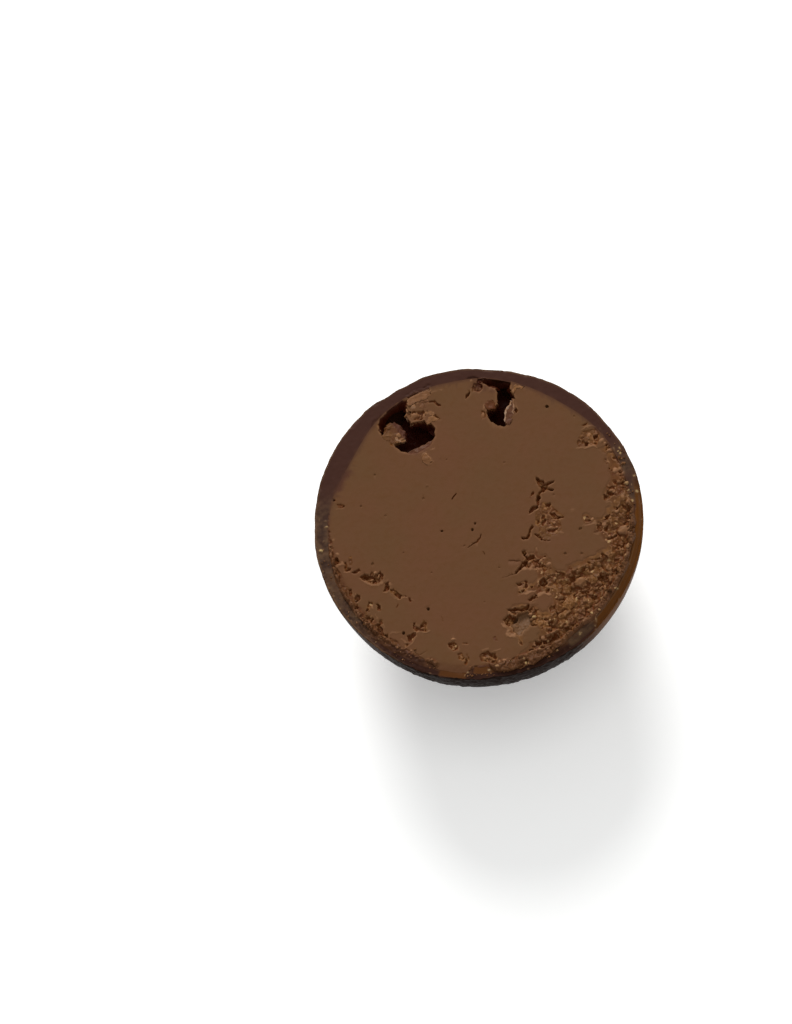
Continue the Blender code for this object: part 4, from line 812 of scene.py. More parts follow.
def crack_the_cut(cut):
    """Fine cracks, raised dry edges and single crumbs."""
    for depth, course in CRACKS:
        place = window(cut.axis, course)
        off, width = along_line(cut.fine[0][place], cut.fine[1][place], course)
        deep = np.clip(1.0 - 2.0 * off / np.maximum(width, 0.07), 0.0, 1.0) ** 0.6
        deep = deep * np.minimum(1.0, width / 0.08)
        cut.height[place] -= CRACK_SHARE * depth * deep
        cut.torn[place] = np.maximum(cut.torn[place], smooth(deep, 0.1, 0.6))
    for rise, paleness, course in LIPS:
        place = window(cut.axis, course)
        ragged = cut.ragged[place]
        off, width = along_line(cut.bent[0][place], cut.bent[1][place], course)
        lip = smooth(width * (0.62 + 0.35 * ragged) - off, -0.06, 0.10)
        lip = lip * smooth(cut.slack[place] + 0.3 * ragged, 0.05, 0.45)
        cut.height[place] += (0.8 if rise > 0.2 else 0.5) * rise * lip
        # the lip is painted paler: partly a dry edge, partly a painted highlight
        cut.pale[place] = np.maximum(cut.pale[place], 0.6 * paleness * lip)
    for x, y, half_length, half_width, top, paleness, turn in CRUMBS:
        place = window(cut.axis, ((x, y),), 0.9)
        angle = math.radians(turn)
        dx, dy = cut.fine[0][place] - x, cut.fine[1][place] - y
        along = (dx * math.cos(angle) + dy * math.sin(angle)) / half_length
        across = (dy * math.cos(angle) - dx * math.sin(angle)) / half_width
        worn = 0.35 * cut.ragged[place] * min(1.0, 4.0 * half_width - 0.4)
        share = np.clip(1.0 - along**2 - across**2 + worn, 0.0, 1.0)
        under = cut.height[place]
        base = np.minimum(under, -0.1)
        raised = np.maximum(under, base + (top - base) * share**0.5)
        cut.height[place] = np.where(share > 0.0, raised, under)
        cut.pale[place] = np.maximum(cut.pale[place], paleness * smooth(share, 0.0, 0.4))


def open_the_holes(cut):
    """The sloping wall under the left hole, the stains and the painted shade on that wall, and the mouths of the two
    holes.
    """
    slope = inside_outline(*cut.fine, LEFT_SLOPE)
    uneven = 0.06 * smooth(slope, 0.0, 0.2) * rough(cut.flat, 0.5, 27)
    cut.height -= 0.45 * smooth(slope, -0.02, 0.55) + uneven
    cut.stained = np.zeros(cut.x.shape)
    for strength, outline in STAINS_AND_SHADE:
        place, patch = patch_of(cut, outline, -0.15, 0.2)
        cut.stained[place] = np.maximum(cut.stained[place], strength * patch)
    cut.mouths = np.zeros(cut.x.shape)
    beside = smooth(cut.over_coat, -1.3, -0.5)
    for mouth in (LEFT_MOUTH, RIGHT_MOUTH):
        deep = inside_outline(*cut.shaken, mouth)
        cut.mouths = np.maximum(cut.mouths, smooth(deep, -0.7, -0.2))
        fall = (1.0 - beside) * smooth(deep, -0.03, 0.10) + beside * smooth(deep, -0.05, 0.85)
        cut.height -= MOUTH_DEPTH * fall
        cut.torn = np.maximum(cut.torn, smooth(deep, -0.06, 0.02))


def map_the_ring(cut):
    """The coat's own cut: nearly flat, torn in places, bent down at the front, with ganache on it."""
    ring = 0.005 * grain(cut.flat, 0.9, 41) + 0.008 * grain(cut.flat, 0.25, 42) - 0.015
    for crumb in CRUMBS:
        place = window(cut.axis, (crumb[:2],), 0.5)
        raised = np.maximum(ring[place], cut.height[place])
        ring[place] = np.where(cut.pale[place] > 0.3, raised, ring[place])
    ring = ring - 0.01 * cut.covered + 0.03 * cut.covered * rough(cut.flat, 0.7, 43)
    ring = ring + sector(cut.azimuth, -138.0, 38.0, 26.0) * (0.4 * cut.grains - 0.03)
    for strength, outline in RING_TORN:
        place, patch = patch_of(cut, outline, -0.05, 0.12)
        ring[place] += patch * strength * (0.5 * cut.lumps[place] + 0.8 * cut.grains[place] - 0.10)
    edge = np.clip((cut.far - (RADIUS_MM - 0.55)) / 0.46, 0.0, 1.0)
    cut.ring = ring - RIM_SAG * soft_rim(cut.azimuth) * edge**1.5
    frayed = cut.over_coat + 0.16 * grain(cut.flat, 0.5, 44) + 0.09 * cut.ragged
    cut.lying = cut.covered * smooth(np.where(cut.clean > 0.0, cut.over_coat, frayed), -0.25, 0.0)
    worn = smooth(by_azimuth(OVERLAP, cut.azimuth) * 1.3 + 0.12 - cut.over_coat, 0.0, 0.30)
    on_ring = cut.ring + 0.01 + cut.crumbs * worn * (1.0 - cut.clean)
    cut.height = cut.height * (1.0 - cut.lying) + cut.lying * on_ring
    cut.pale = np.maximum(cut.pale, cut.flecks * cut.lying * worn * (1.0 - cut.clean))


def find_the_edges(cut):
    """Edges that stand out, painted paler as dry edges and partly as highlights, hollows painted with redder shade,
    and the round dots of cut bubbles.
    """
    level = np.maximum(cut.height, -0.5)
    blurred = level
    for _ in range(BLUR_ROUNDS):
        sides = [np.roll(blurred, shift, side) for shift in (-1, 1) for side in (0, 1)]
        blurred = (blurred + sum(sides)) / 5.0
    # convex edges painted paler: partly dry edges, partly a painted highlight
    edge = smooth(level - blurred, 0.010, 0.050) * (0.75 + 0.25 * cut.ragged)
    cut.edge = edge * (0.35 + 0.65 * cut.torn) * (1.0 - 0.4 * cut.margin)
    # painted shade: a redder colour in the hollows between crumbs, where shade falls
    hollow = 0.85 * smooth(blurred - level, 0.005, 0.08) * (1.0 - cut.bare)
    cut.hollow = hollow * (1.0 - 0.6 * cut.margin) * (1.0 - 0.5 * cut.lying)
    for x, y, radius, depth in DOTS:
        place = window(cut.axis, ((x, y),))
        off = np.hypot(cut.fine[0][place] - x, cut.fine[1][place] - y)
        deep = smooth(radius - off, -0.04, 0.05)
        cut.height[place] -= depth * deep
        cut.torn[place] = np.maximum(cut.torn[place], deep * min(1.0, abs(depth) * 4.0))
    cut.rusty = smooth(grain(cut.flat, 1.3, 28) + 0.4 * cut.ragged, 0.1, 0.9) * 0.6


def map_the_cut():
    """All maps of the cut: the ganache's and the ring's height in mm, and how torn, pale and so on."""
    cut = plan_the_cut()
    tear_the_cut(cut)
    crumble_the_cut(cut)
    crack_the_cut(cut)
    open_the_holes(cut)
    map_the_ring(cut)
    find_the_edges(cut)
    return cut


CUT = map_the_cut()


def sample(name, x, y):
    """The value of one map of the cut at points in mm."""
    table = getattr(CUT, name)
    last = len(CUT.axis) - 2
    along = (np.asarray(x) + MAP_REACH) / MAP_STEP
    up = (np.asarray(y) + MAP_REACH) / MAP_STEP
    column = np.clip(np.floor(along).astype(int), 0, last)
    row = np.clip(np.floor(up).astype(int), 0, last)
    right = np.clip(along - column, 0.0, 1.0)
    above = np.clip(up - row, 0.0, 1.0)
    lower = table[row, column] * (1.0 - right) + table[row, column + 1] * right
    upper = table[row + 1, column] * (1.0 - right) + table[row + 1, column + 1] * right
    return lower * (1.0 - above) + upper * above


def points_of(obj):
    """The object's vertices in mm from the middle of the cut, as x, y and z arrays."""
    flat = np.empty(len(obj.data.vertices) * 3, np.float32)
    obj.data.vertices.foreach_get("co", flat)
    return ((flat.reshape(-1, 3).astype(float) - np.array(CENTRE)) / MM).T


def move_points(obj, x, y, z):
    """Puts the object's vertices at x, y and z in mm from the middle of the cut."""
    placed = np.stack([x, y, z], axis=1) * MM + np.array(CENTRE)
    obj.data.vertices.foreach_set("co", placed.astype(np.float32).ravel())
    obj.data.update()


def paint(obj, name, values):
    """Stores one number for each vertex, which the materials read."""
    layer = obj.data.attributes.new(name, "FLOAT", "POINT")
    layer.data.foreach_set("value", np.asarray(values, np.float32))


def deselect():
    """Leaves edit mode and selects nothing."""
    if bpy.context.object and bpy.context.object.mode != "OBJECT":
        bpy.ops.object.mode_set(mode="OBJECT")
    bpy.ops.object.select_all(action="DESELECT")


def activate(obj):
    """Selects one object alone and makes it the active one."""
    deselect()
    obj.select_set(True)
    bpy.context.view_layer.objects.active = obj


def apply_place(obj):
    """Moves the object's place into its mesh."""
    activate(obj)
    bpy.ops.object.transform_apply(location=True, rotation=True, scale=True)


def apply_modifier(obj, name, kind, **settings):
    """Adds a modifier with its settings and applies it."""
    activate(obj)
    step = obj.modifiers.new(name, kind)
    for key, value in settings.items():
        setattr(step, key, value)
    bpy.ops.object.modifier_apply(modifier=step.name)


def cut_away(obj, name, cutter):
    """Takes a cutter away from an object and removes the cutter."""
    apply_modifier(obj, name, "BOOLEAN", operation="DIFFERENCE", solver="MANIFOLD", object=cutter)
    bpy.data.objects.remove(cutter)


def join_all(pieces, name):
    """Joins pieces into one object."""
    deselect()
    for piece in pieces:
        piece.select_set(True)
    bpy.context.view_layer.objects.active = pieces[0]
    bpy.ops.object.join()
    joined = bpy.context.object
    joined.name = name
    return joined


def outline_object(name, places, edges):
    """A new active object of points and edges alone, all selected in edit mode."""
    mesh = bpy.data.meshes.new(name)
    mesh.from_pydata(places, edges, [])
    obj = bpy.data.objects.new(name, mesh)
    bpy.context.scene.collection.objects.link(obj)
    activate(obj)
    bpy.ops.object.mode_set(mode="EDIT")
    bpy.ops.mesh.select_all(action="SELECT")
    return obj


def face_outwards():
    """Turns all faces of the mesh outwards and leaves edit mode."""
    bpy.ops.mesh.select_all(action="SELECT")
    bpy.ops.mesh.normals_make_consistent(inside=False)
    bpy.ops.object.mode_set(mode="OBJECT")


def unit_directions(x, y, z):
    """The directions of points from the middle of the cut."""
    length = np.maximum(np.sqrt(x * x + y * y + z * z), 1e-9)
    return x / length, y / length, z / length


def finish_with(obj, *materials):
    """Gives the object these materials alone, and all its faces the first."""
    obj.data.materials.clear()
    for material in materials:
        obj.data.materials.append(material)
    obj.data.polygons.foreach_set("material_index", [0] * len(obj.data.polygons))


def assign_zone(obj, slot_index, wanted):
    """Gives a material slot to each face whose corners are all in a zone."""
    count = len(obj.data.polygons)
    totals = np.empty(count, int)
    starts = np.empty(count, int)
    corners = np.empty(len(obj.data.loops), int)
    obj.data.polygons.foreach_get("loop_total", totals)
    obj.data.polygons.foreach_get("loop_start", starts)
    obj.data.loops.foreach_get("vertex_index", corners)
    inside = np.add.reduceat(wanted[corners].astype(int), starts) == totals
    slots = np.empty(count, int)
    obj.data.polygons.foreach_get("material_index", slots)
    slots[inside] = slot_index
    obj.data.polygons.foreach_set("material_index", slots)


def relief_edges(obj):
    """How far each vertex stands up from its neighbours, in mm."""
    z = points_of(obj)[2]
    count = len(z)
    ends = np.empty(len(obj.data.edges) * 2, int)
    obj.data.edges.foreach_get("vertices", ends)
    a, b = ends.reshape(-1, 2).T
    links = np.bincount(a, minlength=count) + np.bincount(b, minlength=count)
    level = z
    for _ in range(NEIGHBOUR_ROUNDS):
        total = np.bincount(a, weights=level[b], minlength=count)
        total = total + np.bincount(b, weights=level[a], minlength=count)
        level = total / np.maximum(links, 1)
    return z - level


MIX_A, MIX_B, MIX_RESULT = 6, 7, 2  # a Mix node's sockets for colours


def fill_inputs(tree, made, inputs):
    """Fills a node's inputs with values or with other nodes' outputs."""
    for key, value in inputs.items():
        if isinstance(value, bpy.types.NodeSocket):
            tree.links.new(value, made.inputs[key])
        else:
            made.inputs[key].default_value = value


def node(tree, kind, inputs=None, stops=(), **settings):
    """Adds a node with its settings, its inputs and a colour ramp's stops."""
    made = tree.nodes.new(kind)
    for key, value in settings.items():
        setattr(made, key, value)
    fill_inputs(tree, made, inputs or {})
    for number, (place, colour) in enumerate(stops):
        ramp = made.color_ramp.elements
        stop = ramp[number] if number < len(ramp) else ramp.new(place)
        stop.position = place
        stop.color = (*colour, 1.0)
    return made


def new_material(name, zones=()):
    """A material with its node tree, its shader, and the numbers that a piece stores for its zones."""
    made = bpy.data.materials.new(name)
    made.use_nodes = True
    tree = made.node_tree
    stored = {}
    for zone in zones:
        stored[zone] = node(tree, "ShaderNodeAttribute", attribute_name=zone).outputs["Fac"]
    return made, tree, tree.nodes["Principled BSDF"], stored


def lay_over(tree, body, layers):
    """Lays colours over a body, each as far as a number says. Colours may be other nodes' outputs."""
    for amount, colour in layers:
        under, over = (
            shade if isinstance(shade, bpy.types.NodeSocket) else (*shade, 1.0) for shade in (body, colour)
        )
        mix = node(tree, "ShaderNodeMix", {"Factor": amount, MIX_A: under, MIX_B: over}, data_type="RGBA")
        body = mix.outputs[MIX_RESULT]
    return body


def dipped_chocolate(colours):
    """Tempered dark chocolate, dipped and set: a glossy skin, with faint bloom and scuffs, painted shade under the
    front rim, and a painted highlight along the rim.
    """
    made, tree, shader, zone = new_material("dipped_dark_chocolate", ("warm", "scuff_and_shade", "dry", "sealed"))
    place = node(tree, "ShaderNodeTexCoord").outputs["Object"]
    cloud = node(tree, "ShaderNodeTexNoise", {"Vector": place, "Scale": SKIN_CLOUDS / MM, "Detail": 4.0})
    skin = node(
        tree, "ShaderNodeValToRGB", {"Fac": cloud.outputs["Fac"]},
        stops=((0.36, colours.skin), (0.66, colours.skin_warm)),
    )
    patch = node(
        tree, "ShaderNodeTexNoise",
        {"Vector": place, "Scale": BLOOM_PATCHES / MM, "Detail": 6.0, "Roughness": 0.62},
    )
    bloom = node(
        tree, "ShaderNodeValToRGB", {"Fac": patch.outputs["Fac"]},
        stops=((0.50, (0.0,) * 3), (0.72, (0.45,) * 3)),
    )
    dry = node(tree, "ShaderNodeMath", {0: zone["dry"], 1: DRY_SHARE}, operation="MULTIPLY", use_clamp=True)
    body = lay_over(tree, skin.outputs["Color"], (
        (bloom.outputs["Color"], colours.bloom), (zone["warm"], colours.rim),
        (zone["scuff_and_shade"], colours.scuff_and_shade), (dry.outputs[0], colours.dry_edge_and_highlight),
    ))
    gloss = node(tree, "ShaderNodeMapRange", {"Value": patch.outputs["Fac"], "To Min": 0.9, "To Max": 0.35})
    sealed = node(tree, "ShaderNodeMath", {0: zone["sealed"], 1: gloss.outputs["Result"]}, operation="MULTIPLY")
    scratch = node(tree, "ShaderNodeTexNoise", {"Vector": place, "Scale": SKIN_SCRATCHES / MM, "Detail": 3.0})
    bump = node(tree, "ShaderNodeBump", {"Height": scratch.outputs["Fac"], "Strength": 0.10, "Distance": 0.04 * MM})
    fill_inputs(tree, shader, {
        "Base Color": body, "Roughness": 0.55, "Normal": bump.outputs["Normal"],
        "Coat Weight": sealed.outputs[0], "Coat Roughness": 0.22,
        "IOR": CHOCOLATE_IOR, "Specular IOR Level": 0.04, "Specular Tint": (1.0, 0.84, 0.72, 1.0),
    })
    return made


def cut_chocolate(colours):
    """Dark chocolate where the knife went through: matt, dense and red-brown, smeared in places, with a painted
    highlight along its outer edge.
    """
    made, tree, shader, zone = new_material("cut_dark_chocolate", ("grey", "dark", "smear", "warm", "dry"))
    place = node(tree, "ShaderNodeTexCoord").outputs["Object"]
    fine = node(tree, "ShaderNodeTexNoise", {"Vector": place, "Scale": CUT_GRAIN / MM, "Detail": 4.0})
    patch = node(tree, "ShaderNodeTexNoise", {"Vector": place, "Scale": CUT_GRAIN / MM, "Detail": 6.0})
    crumbled = node(
        tree, "ShaderNodeValToRGB", {"Fac": patch.outputs["Fac"]},
        stops=((0.38, colours.cut_grey), (0.66, colours.cut_dusty)),
    )
    broken = node(tree, "ShaderNodeMath", {0: patch.outputs["Fac"], 1: -0.5}, operation="ADD")
    there = node(tree, "ShaderNodeMath", {0: zone["smear"], 1: 0.05}, operation="GREATER_THAN")
    wiped = node(
        tree, "ShaderNodeMath", {0: broken.outputs[0], 1: 0.9, 2: zone["smear"]},
        operation="MULTIPLY_ADD", use_clamp=True,
    )
    wiped = node(tree, "ShaderNodeMath", {0: wiped.outputs[0], 1: there.outputs[0]}, operation="MULTIPLY")
    dry = node(tree, "ShaderNodeMath", {0: zone["dry"], 1: DRY_SHARE}, operation="MULTIPLY", use_clamp=True)
    golden = node(tree, "ShaderNodeMapRange", {"Value": zone["dry"], "From Min": 0.9, "From Max": 1.4})
    body = lay_over(tree, colours.cut, (
        (fine.outputs["Fac"], colours.cut_light), (zone["grey"], crumbled.outputs["Color"]),
        (zone["dark"], colours.cut_dark), (wiped.outputs[0], colours.smear),
        (zone["warm"], colours.rim), (dry.outputs[0], colours.dry_edge_and_highlight),
        (golden.outputs["Result"], colours.golden),
    ))
    gloss = node(tree, "ShaderNodeMapRange", {"Value": zone["warm"], "To Min": 0.55, "To Max": 0.30})
    bump = node(tree, "ShaderNodeBump", {"Height": fine.outputs["Fac"], "Strength": 0.25, "Distance": 0.05 * MM})
    fill_inputs(tree, shader, {
        "Base Color": body, "Roughness": gloss.outputs["Result"], "Normal": bump.outputs["Normal"],
        "IOR": CHOCOLATE_IOR, "Specular IOR Level": 0.06,
    })
    return made


def cut_ganache(colours):
    """Milk chocolate ganache: soft, fatty and matt where it was cut, darker and moist where it tore, with painted
    shade in its hollows and holes and painted highlights on its edges.
    """
    made, tree, shader, zone = new_material("cut_milk_ganache", GANACHE_ZONES)
    place = node(tree, "ShaderNodeTexCoord").outputs["Object"]
    cloud = node(
        tree, "ShaderNodeTexNoise",
        {"Vector": place, "Scale": GANACHE_CLOUDS / MM, "Detail": 6.0, "Roughness": 0.6},
    )
    smooth_cut = node(
        tree, "ShaderNodeValToRGB", {"Fac": cloud.outputs["Fac"]},
        stops=((0.35, colours.ganache_olive), (0.62, colours.ganache)),
    )
    speck = node(tree, "ShaderNodeTexNoise", {"Vector": place, "Scale": GANACHE_SPECKS / MM, "Detail": 2.0})
    specks = node(
        tree, "ShaderNodeMapRange",
        {"Value": speck.outputs["Fac"], "From Min": 0.48, "From Max": 0.80, "To Max": 0.50},
    )
    lumps = node(
        tree, "ShaderNodeValToRGB", {"Fac": zone["tone"]},
        stops=((0.1, colours.ganache_deep), (0.5, colours.ganache_torn), (0.9, colours.ganache_warm)),
    )
    crumbled = lay_over(tree, lumps.outputs["Color"], ((zone["rusty"], colours.rust),))
    edge, dry = (
        node(tree, "ShaderNodeMath", {0: zone[name], 1: share}, operation="MULTIPLY", use_clamp=True)
        for name, share in (("edge", 0.6), ("pale", 0.75))
    )
    golden = node(tree, "ShaderNodeMapRange", {"Value": zone["pale"], "From Min": 1.0, "From Max": 1.5})
    body = lay_over(tree, smooth_cut.outputs["Color"], (
        (specks.outputs["Result"], colours.ganache_torn), (zone["torn"], crumbled),
        (zone["hollow"], colours.hollow), (zone["stained"], colours.stain), (zone["bare"], colours.bare),
        (edge.outputs[0], colours.crumb_edge_and_highlight), (zone["over_ring"], colours.smear),
        (dry.outputs[0], colours.crumb_edge_and_highlight), (golden.outputs["Result"], colours.golden),
        (zone["whitish"], colours.whitish), (zone["deep"], colours.hole_shade),
        (zone["wall"], colours.hole_wall_shade), (zone["rim"], colours.cut_light),
    ))
    moist = node(tree, "ShaderNodeMapRange", {"Value": zone["torn"], "To Min": 0.62, "To Max": 0.45})
    bump = node(tree, "ShaderNodeBump", {"Height": speck.outputs["Fac"], "Strength": 0.30, "Distance": 0.05 * MM})
    fill_inputs(tree, shader, {
        "Base Color": body, "Roughness": moist.outputs["Result"], "Normal": bump.outputs["Normal"],
        "IOR": CHOCOLATE_IOR, "Specular IOR Level": 0.07,
    })
    return made


def pale_floor(colours):
    """A matt white board on a light table: its own faint glow keeps the shadow soft."""
    made, tree, shader, _ = new_material("pale_board")
    fill_inputs(tree, shader, {
        "Base Color": (*colours.floor, 1.0), "Roughness": 0.9, "Specular IOR Level": 0.1,
        "Emission Color": (1.0, 1.0, 1.0, 1.0), "Emission Strength": 0.22,
    })
    return made


class PralineSizes(bpy.types.PropertyGroup):
    """Sizes that a user would change."""

    floor_width: FloatProperty(
        name="Floor width", description="Side of the square floor", default=3.0,
        unit="LENGTH", subtype="DISTANCE",
    )
    camera_distance: FloatProperty(
        name="Camera distance", description="From the middle of the cut to the camera", default=0.6,
        unit="LENGTH", subtype="DISTANCE",
    )


def colour_property(name, description, hex_colour):
    """A colour that a user can change, with its default."""
    return FloatVectorProperty(
        name=name, description=description, subtype="COLOR", size=3, min=0.0, max=1.0,
        default=linear(hex_colour),
    )


class PralineColours(bpy.types.PropertyGroup):
    """Colours of each finish."""

    skin: colour_property("Skin", "The coat's skin, dark", "#261108")
    skin_warm: colour_property("Warm skin", "The coat's skin where it is thin", "#3a1c0b")
    bloom: colour_property("Bloom", "Fat bloom and scuffs on the coat", "#40302a")
    rim: colour_property("Rim", "Orange-brown chocolate at the rim", "#532f0d")
    # scuffed chocolate painted dark as shade under the front rim
    scuff_and_shade: colour_property("Scuff", "Rough, dull chocolate under the rim", "#190e0a")
    cut: colour_property("Cut coat", "The coat's cut, dark", "#341c14")
    cut_light: colour_property("Light cut coat", "The coat's cut, light", "#3b2219")
    cut_dark: colour_property("Dark cut coat", "The coat's cut where it is dense", "#251007")
    cut_grey: colour_property("Grey cut coat", "The coat's cut where it is crumbled and dull", "#33231a")
    cut_dusty: colour_property("Dusty cut coat", "Dust of crumbs on the coat's cut", "#57412d")
    smear: colour_property("Smear", "Ganache smeared on the cut coat", "#4a2d19")
    # also a painted highlight along the coat's rounded outer edge
    dry_edge_and_highlight: colour_property("Dry edge", "Thin dry chocolate at edges", "#694e36")
    ganache: colour_property("Ganache", "The smooth cut of the ganache", "#593923")
    ganache_olive: colour_property("Olive ganache", "The smooth cut where it is duller", "#563a22")
    # also painted shade on the sloping wall under the left hole
    stain: colour_property("Stain", "Redder patches of the smooth cut", "#43251a")
    rust: colour_property("Rusty ganache", "Orange-brown crumbs", "#542e12")
    # painted shade down in the holes
    hole_shade: colour_property("Dark ganache", "Down in the holes", "#3c150a")
    ganache_deep: colour_property("Deep ganache", "The darkest torn ganache", "#4a2814")
    ganache_torn: colour_property("Torn ganache", "The torn inside of the ganache", "#54351a")
    ganache_warm: colour_property("Warm torn ganache", "Lighter crumbs of the torn ganache", "#6c4725")
    bare: colour_property("Bare floor", "The smooth floor of the large cavity", "#5c4029")
    # dry edges, partly a painted highlight on edges and lips
    crumb_edge_and_highlight: colour_property("Crumb edge", "Dry edges of crumbs and tears", "#866043")
    golden: colour_property("Golden flecks", "The palest dry flecks", "#a38a5c")
    # painted shade: the redder colour of the hollows between crumbs
    hollow: colour_property("Hollows", "Moist ganache down between the crumbs", "#5a2c12")
    whitish: colour_property("Whitish flake", "The dry edge of the flake in the right hole", "#927a68")
    # the coat's inside with painted shade, on the holes' walls beside the coat
    hole_wall_shade: colour_property("Wall of the holes", "The coat's inside where a hole bares it", "#341004")
    floor: colour_property("Floor", "The plain pale floor", "#f4f4f2")


def coat_section():
    """Half the coat's section: r and z in mm from the ball's middle, up the outside and down the inside."""
    foot_angle = math.pi / 2.0 - math.asin(min(1.0, CUT_HEIGHT_MM / RADIUS_MM))
    foot_radius = RADIUS_MM * math.sin(foot_angle)
    points = [(foot_radius * share, -CUT_HEIGHT_MM) for share in (0.0, 0.4, 0.8)]
    coarse = np.linspace(math.degrees(foot_angle), 80.0, 28)
    fine = np.linspace(80.0, 89.6, 20)[1:]
    for angle in np.radians(np.concatenate([coarse, fine])):
        points.append((RADIUS_MM * math.sin(angle), -RADIUS_MM * math.cos(angle)))
    for angle in np.radians((30.0, 60.0, 90.0)):
        points.append((RADIUS_MM - BEVEL * (1.0 - math.cos(angle)), -BEVEL * (1.0 - math.sin(angle))))
    for share in np.linspace(0.0, 1.0, 18)[1:]:
        points.append((RADIUS_MM - BEVEL - share * (COAT_WALL - BEVEL), 0.0))
    inner = RADIUS_MM - COAT_WALL
    for angle in np.radians(90.0 * (1.0 - np.linspace(0.0, 1.0, 16)[1:] ** 1.5)):
        points.append((inner * math.sin(angle), -inner * math.cos(angle)))
    points[-1] = (0.0, -inner)
    return points


def spin_section(name, section, steps):
    """Turns a section about the ball's upright axis and closes its poles."""
    places = [(r * MM, 0.0, z * MM + CUT_HEIGHT) for r, z in section]
    obj = outline_object(name, places, [(i, i + 1) for i in range(len(places) - 1)])
    bpy.ops.mesh.spin(steps=steps, angle=2.0 * math.pi, center=(0.0, 0.0, 0.0), axis=(0.0, 0.0, 1.0))
    bpy.ops.mesh.select_all(action="SELECT")
    bpy.ops.mesh.remove_doubles(threshold=1e-6)
    face_outwards()
    return obj


def shape_coat(obj):
    """Gives the spun coat its uneven wall, chipped rim and scuffed underside. Returns its zones."""
    x, y, z = points_of(obj)
    far = np.sqrt(x * x + y * y + z * z)
    azimuth = np.degrees(np.arctan2(y, x))
    on_foot = z < -CUT_HEIGHT_MM + 1e-3
    on_ring = (z > -1e-3) & (far < RADIUS_MM - 0.05)
    on_inside = ~on_ring & ~on_foot & (far < RADIUS_MM - 0.5)
    on_skin = ~on_ring & ~on_inside
    dx, dy, dz = unit_directions(x, y, z)

    low = np.array([noise.noise(Vector(d) * 1.6 + Vector((3.1, 7.7, 1.3))) for d in zip(dx, dy, dz)])
    near_rim = smooth(z, -1.6, -0.05)
    # below the rim at the front the skin is scuffed and painted dark as shade
    scuff_and_shade = sector(azimuth, -88.0, 50.0, 30.0) * smooth(z, -6.5, -4.0)
    skin = UNEVENNESS * low + 0.012 * grain((x, y, z), 2.2, 51)
    skin = skin + near_rim * 0.030 * grain((x, y, z), 1.3, 52)
    skin = skin + near_rim * 0.028 * grain((x, y, z), 0.38, 53)
    scuffs = 0.055 * grain((x, y, z * 1.6), 0.42, 54) + 0.045 * grain((x, y, z * 1.3), 0.2, 55)
    skin = skin + scuff_and_shade * scuffs + by_azimuth(RIM_EDGE, azimuth) * smooth(z, -6.0, -0.3)

    wall = coat_wall(azimuth, 1.0 - dz**2)
    wobble = 0.04 * grain((x, y, 9.0), 1.1, 56)
    share = np.clip((RADIUS_MM - BEVEL - far) / (COAT_WALL - BEVEL), 0.0, 1.0)
    outer = RADIUS_MM + skin - BEVEL
    ring_radius = outer + (RADIUS_MM - wall - wobble - outer) * share
    new_far = np.where(on_ring, ring_radius, np.where(on_inside, RADIUS_MM - wall, far + skin))
    new_far = np.where(on_foot, far, new_far)
    nx, ny, nz = dx * new_far, dy * new_far, dz * new_far
    chip = smooth(grain((x, y, z), 0.6, 57), 0.42, 0.8) * 0.10
    chip = chip + smooth(grain((x, y, z), 1.9, 58), 0.6, 0.9) * 0.12
    chip = chip * smooth(z, -0.20, -0.02) * smooth(-share, -0.2, -0.02)
    sag = RIM_SAG * soft_rim(azimuth) * np.clip(1.0 + z / 1.6, 0.0, 1.0) ** 2
    nz = np.where(on_ring, sample("ring", nx, ny) - 0.6 * chip, nz - (chip + sag) * on_skin)
    nz = np.maximum(nz, -CUT_HEIGHT_MM)
    move_points(obj, nx, ny, nz)
    return SimpleNamespace(
        place=(nx, ny, nz), up=z, azimuth=azimuth, share=share, edge=RADIUS_MM + skin, scuff_and_shade=scuff_and_shade,
        on_ring=on_ring, on_skin=on_skin,
    )


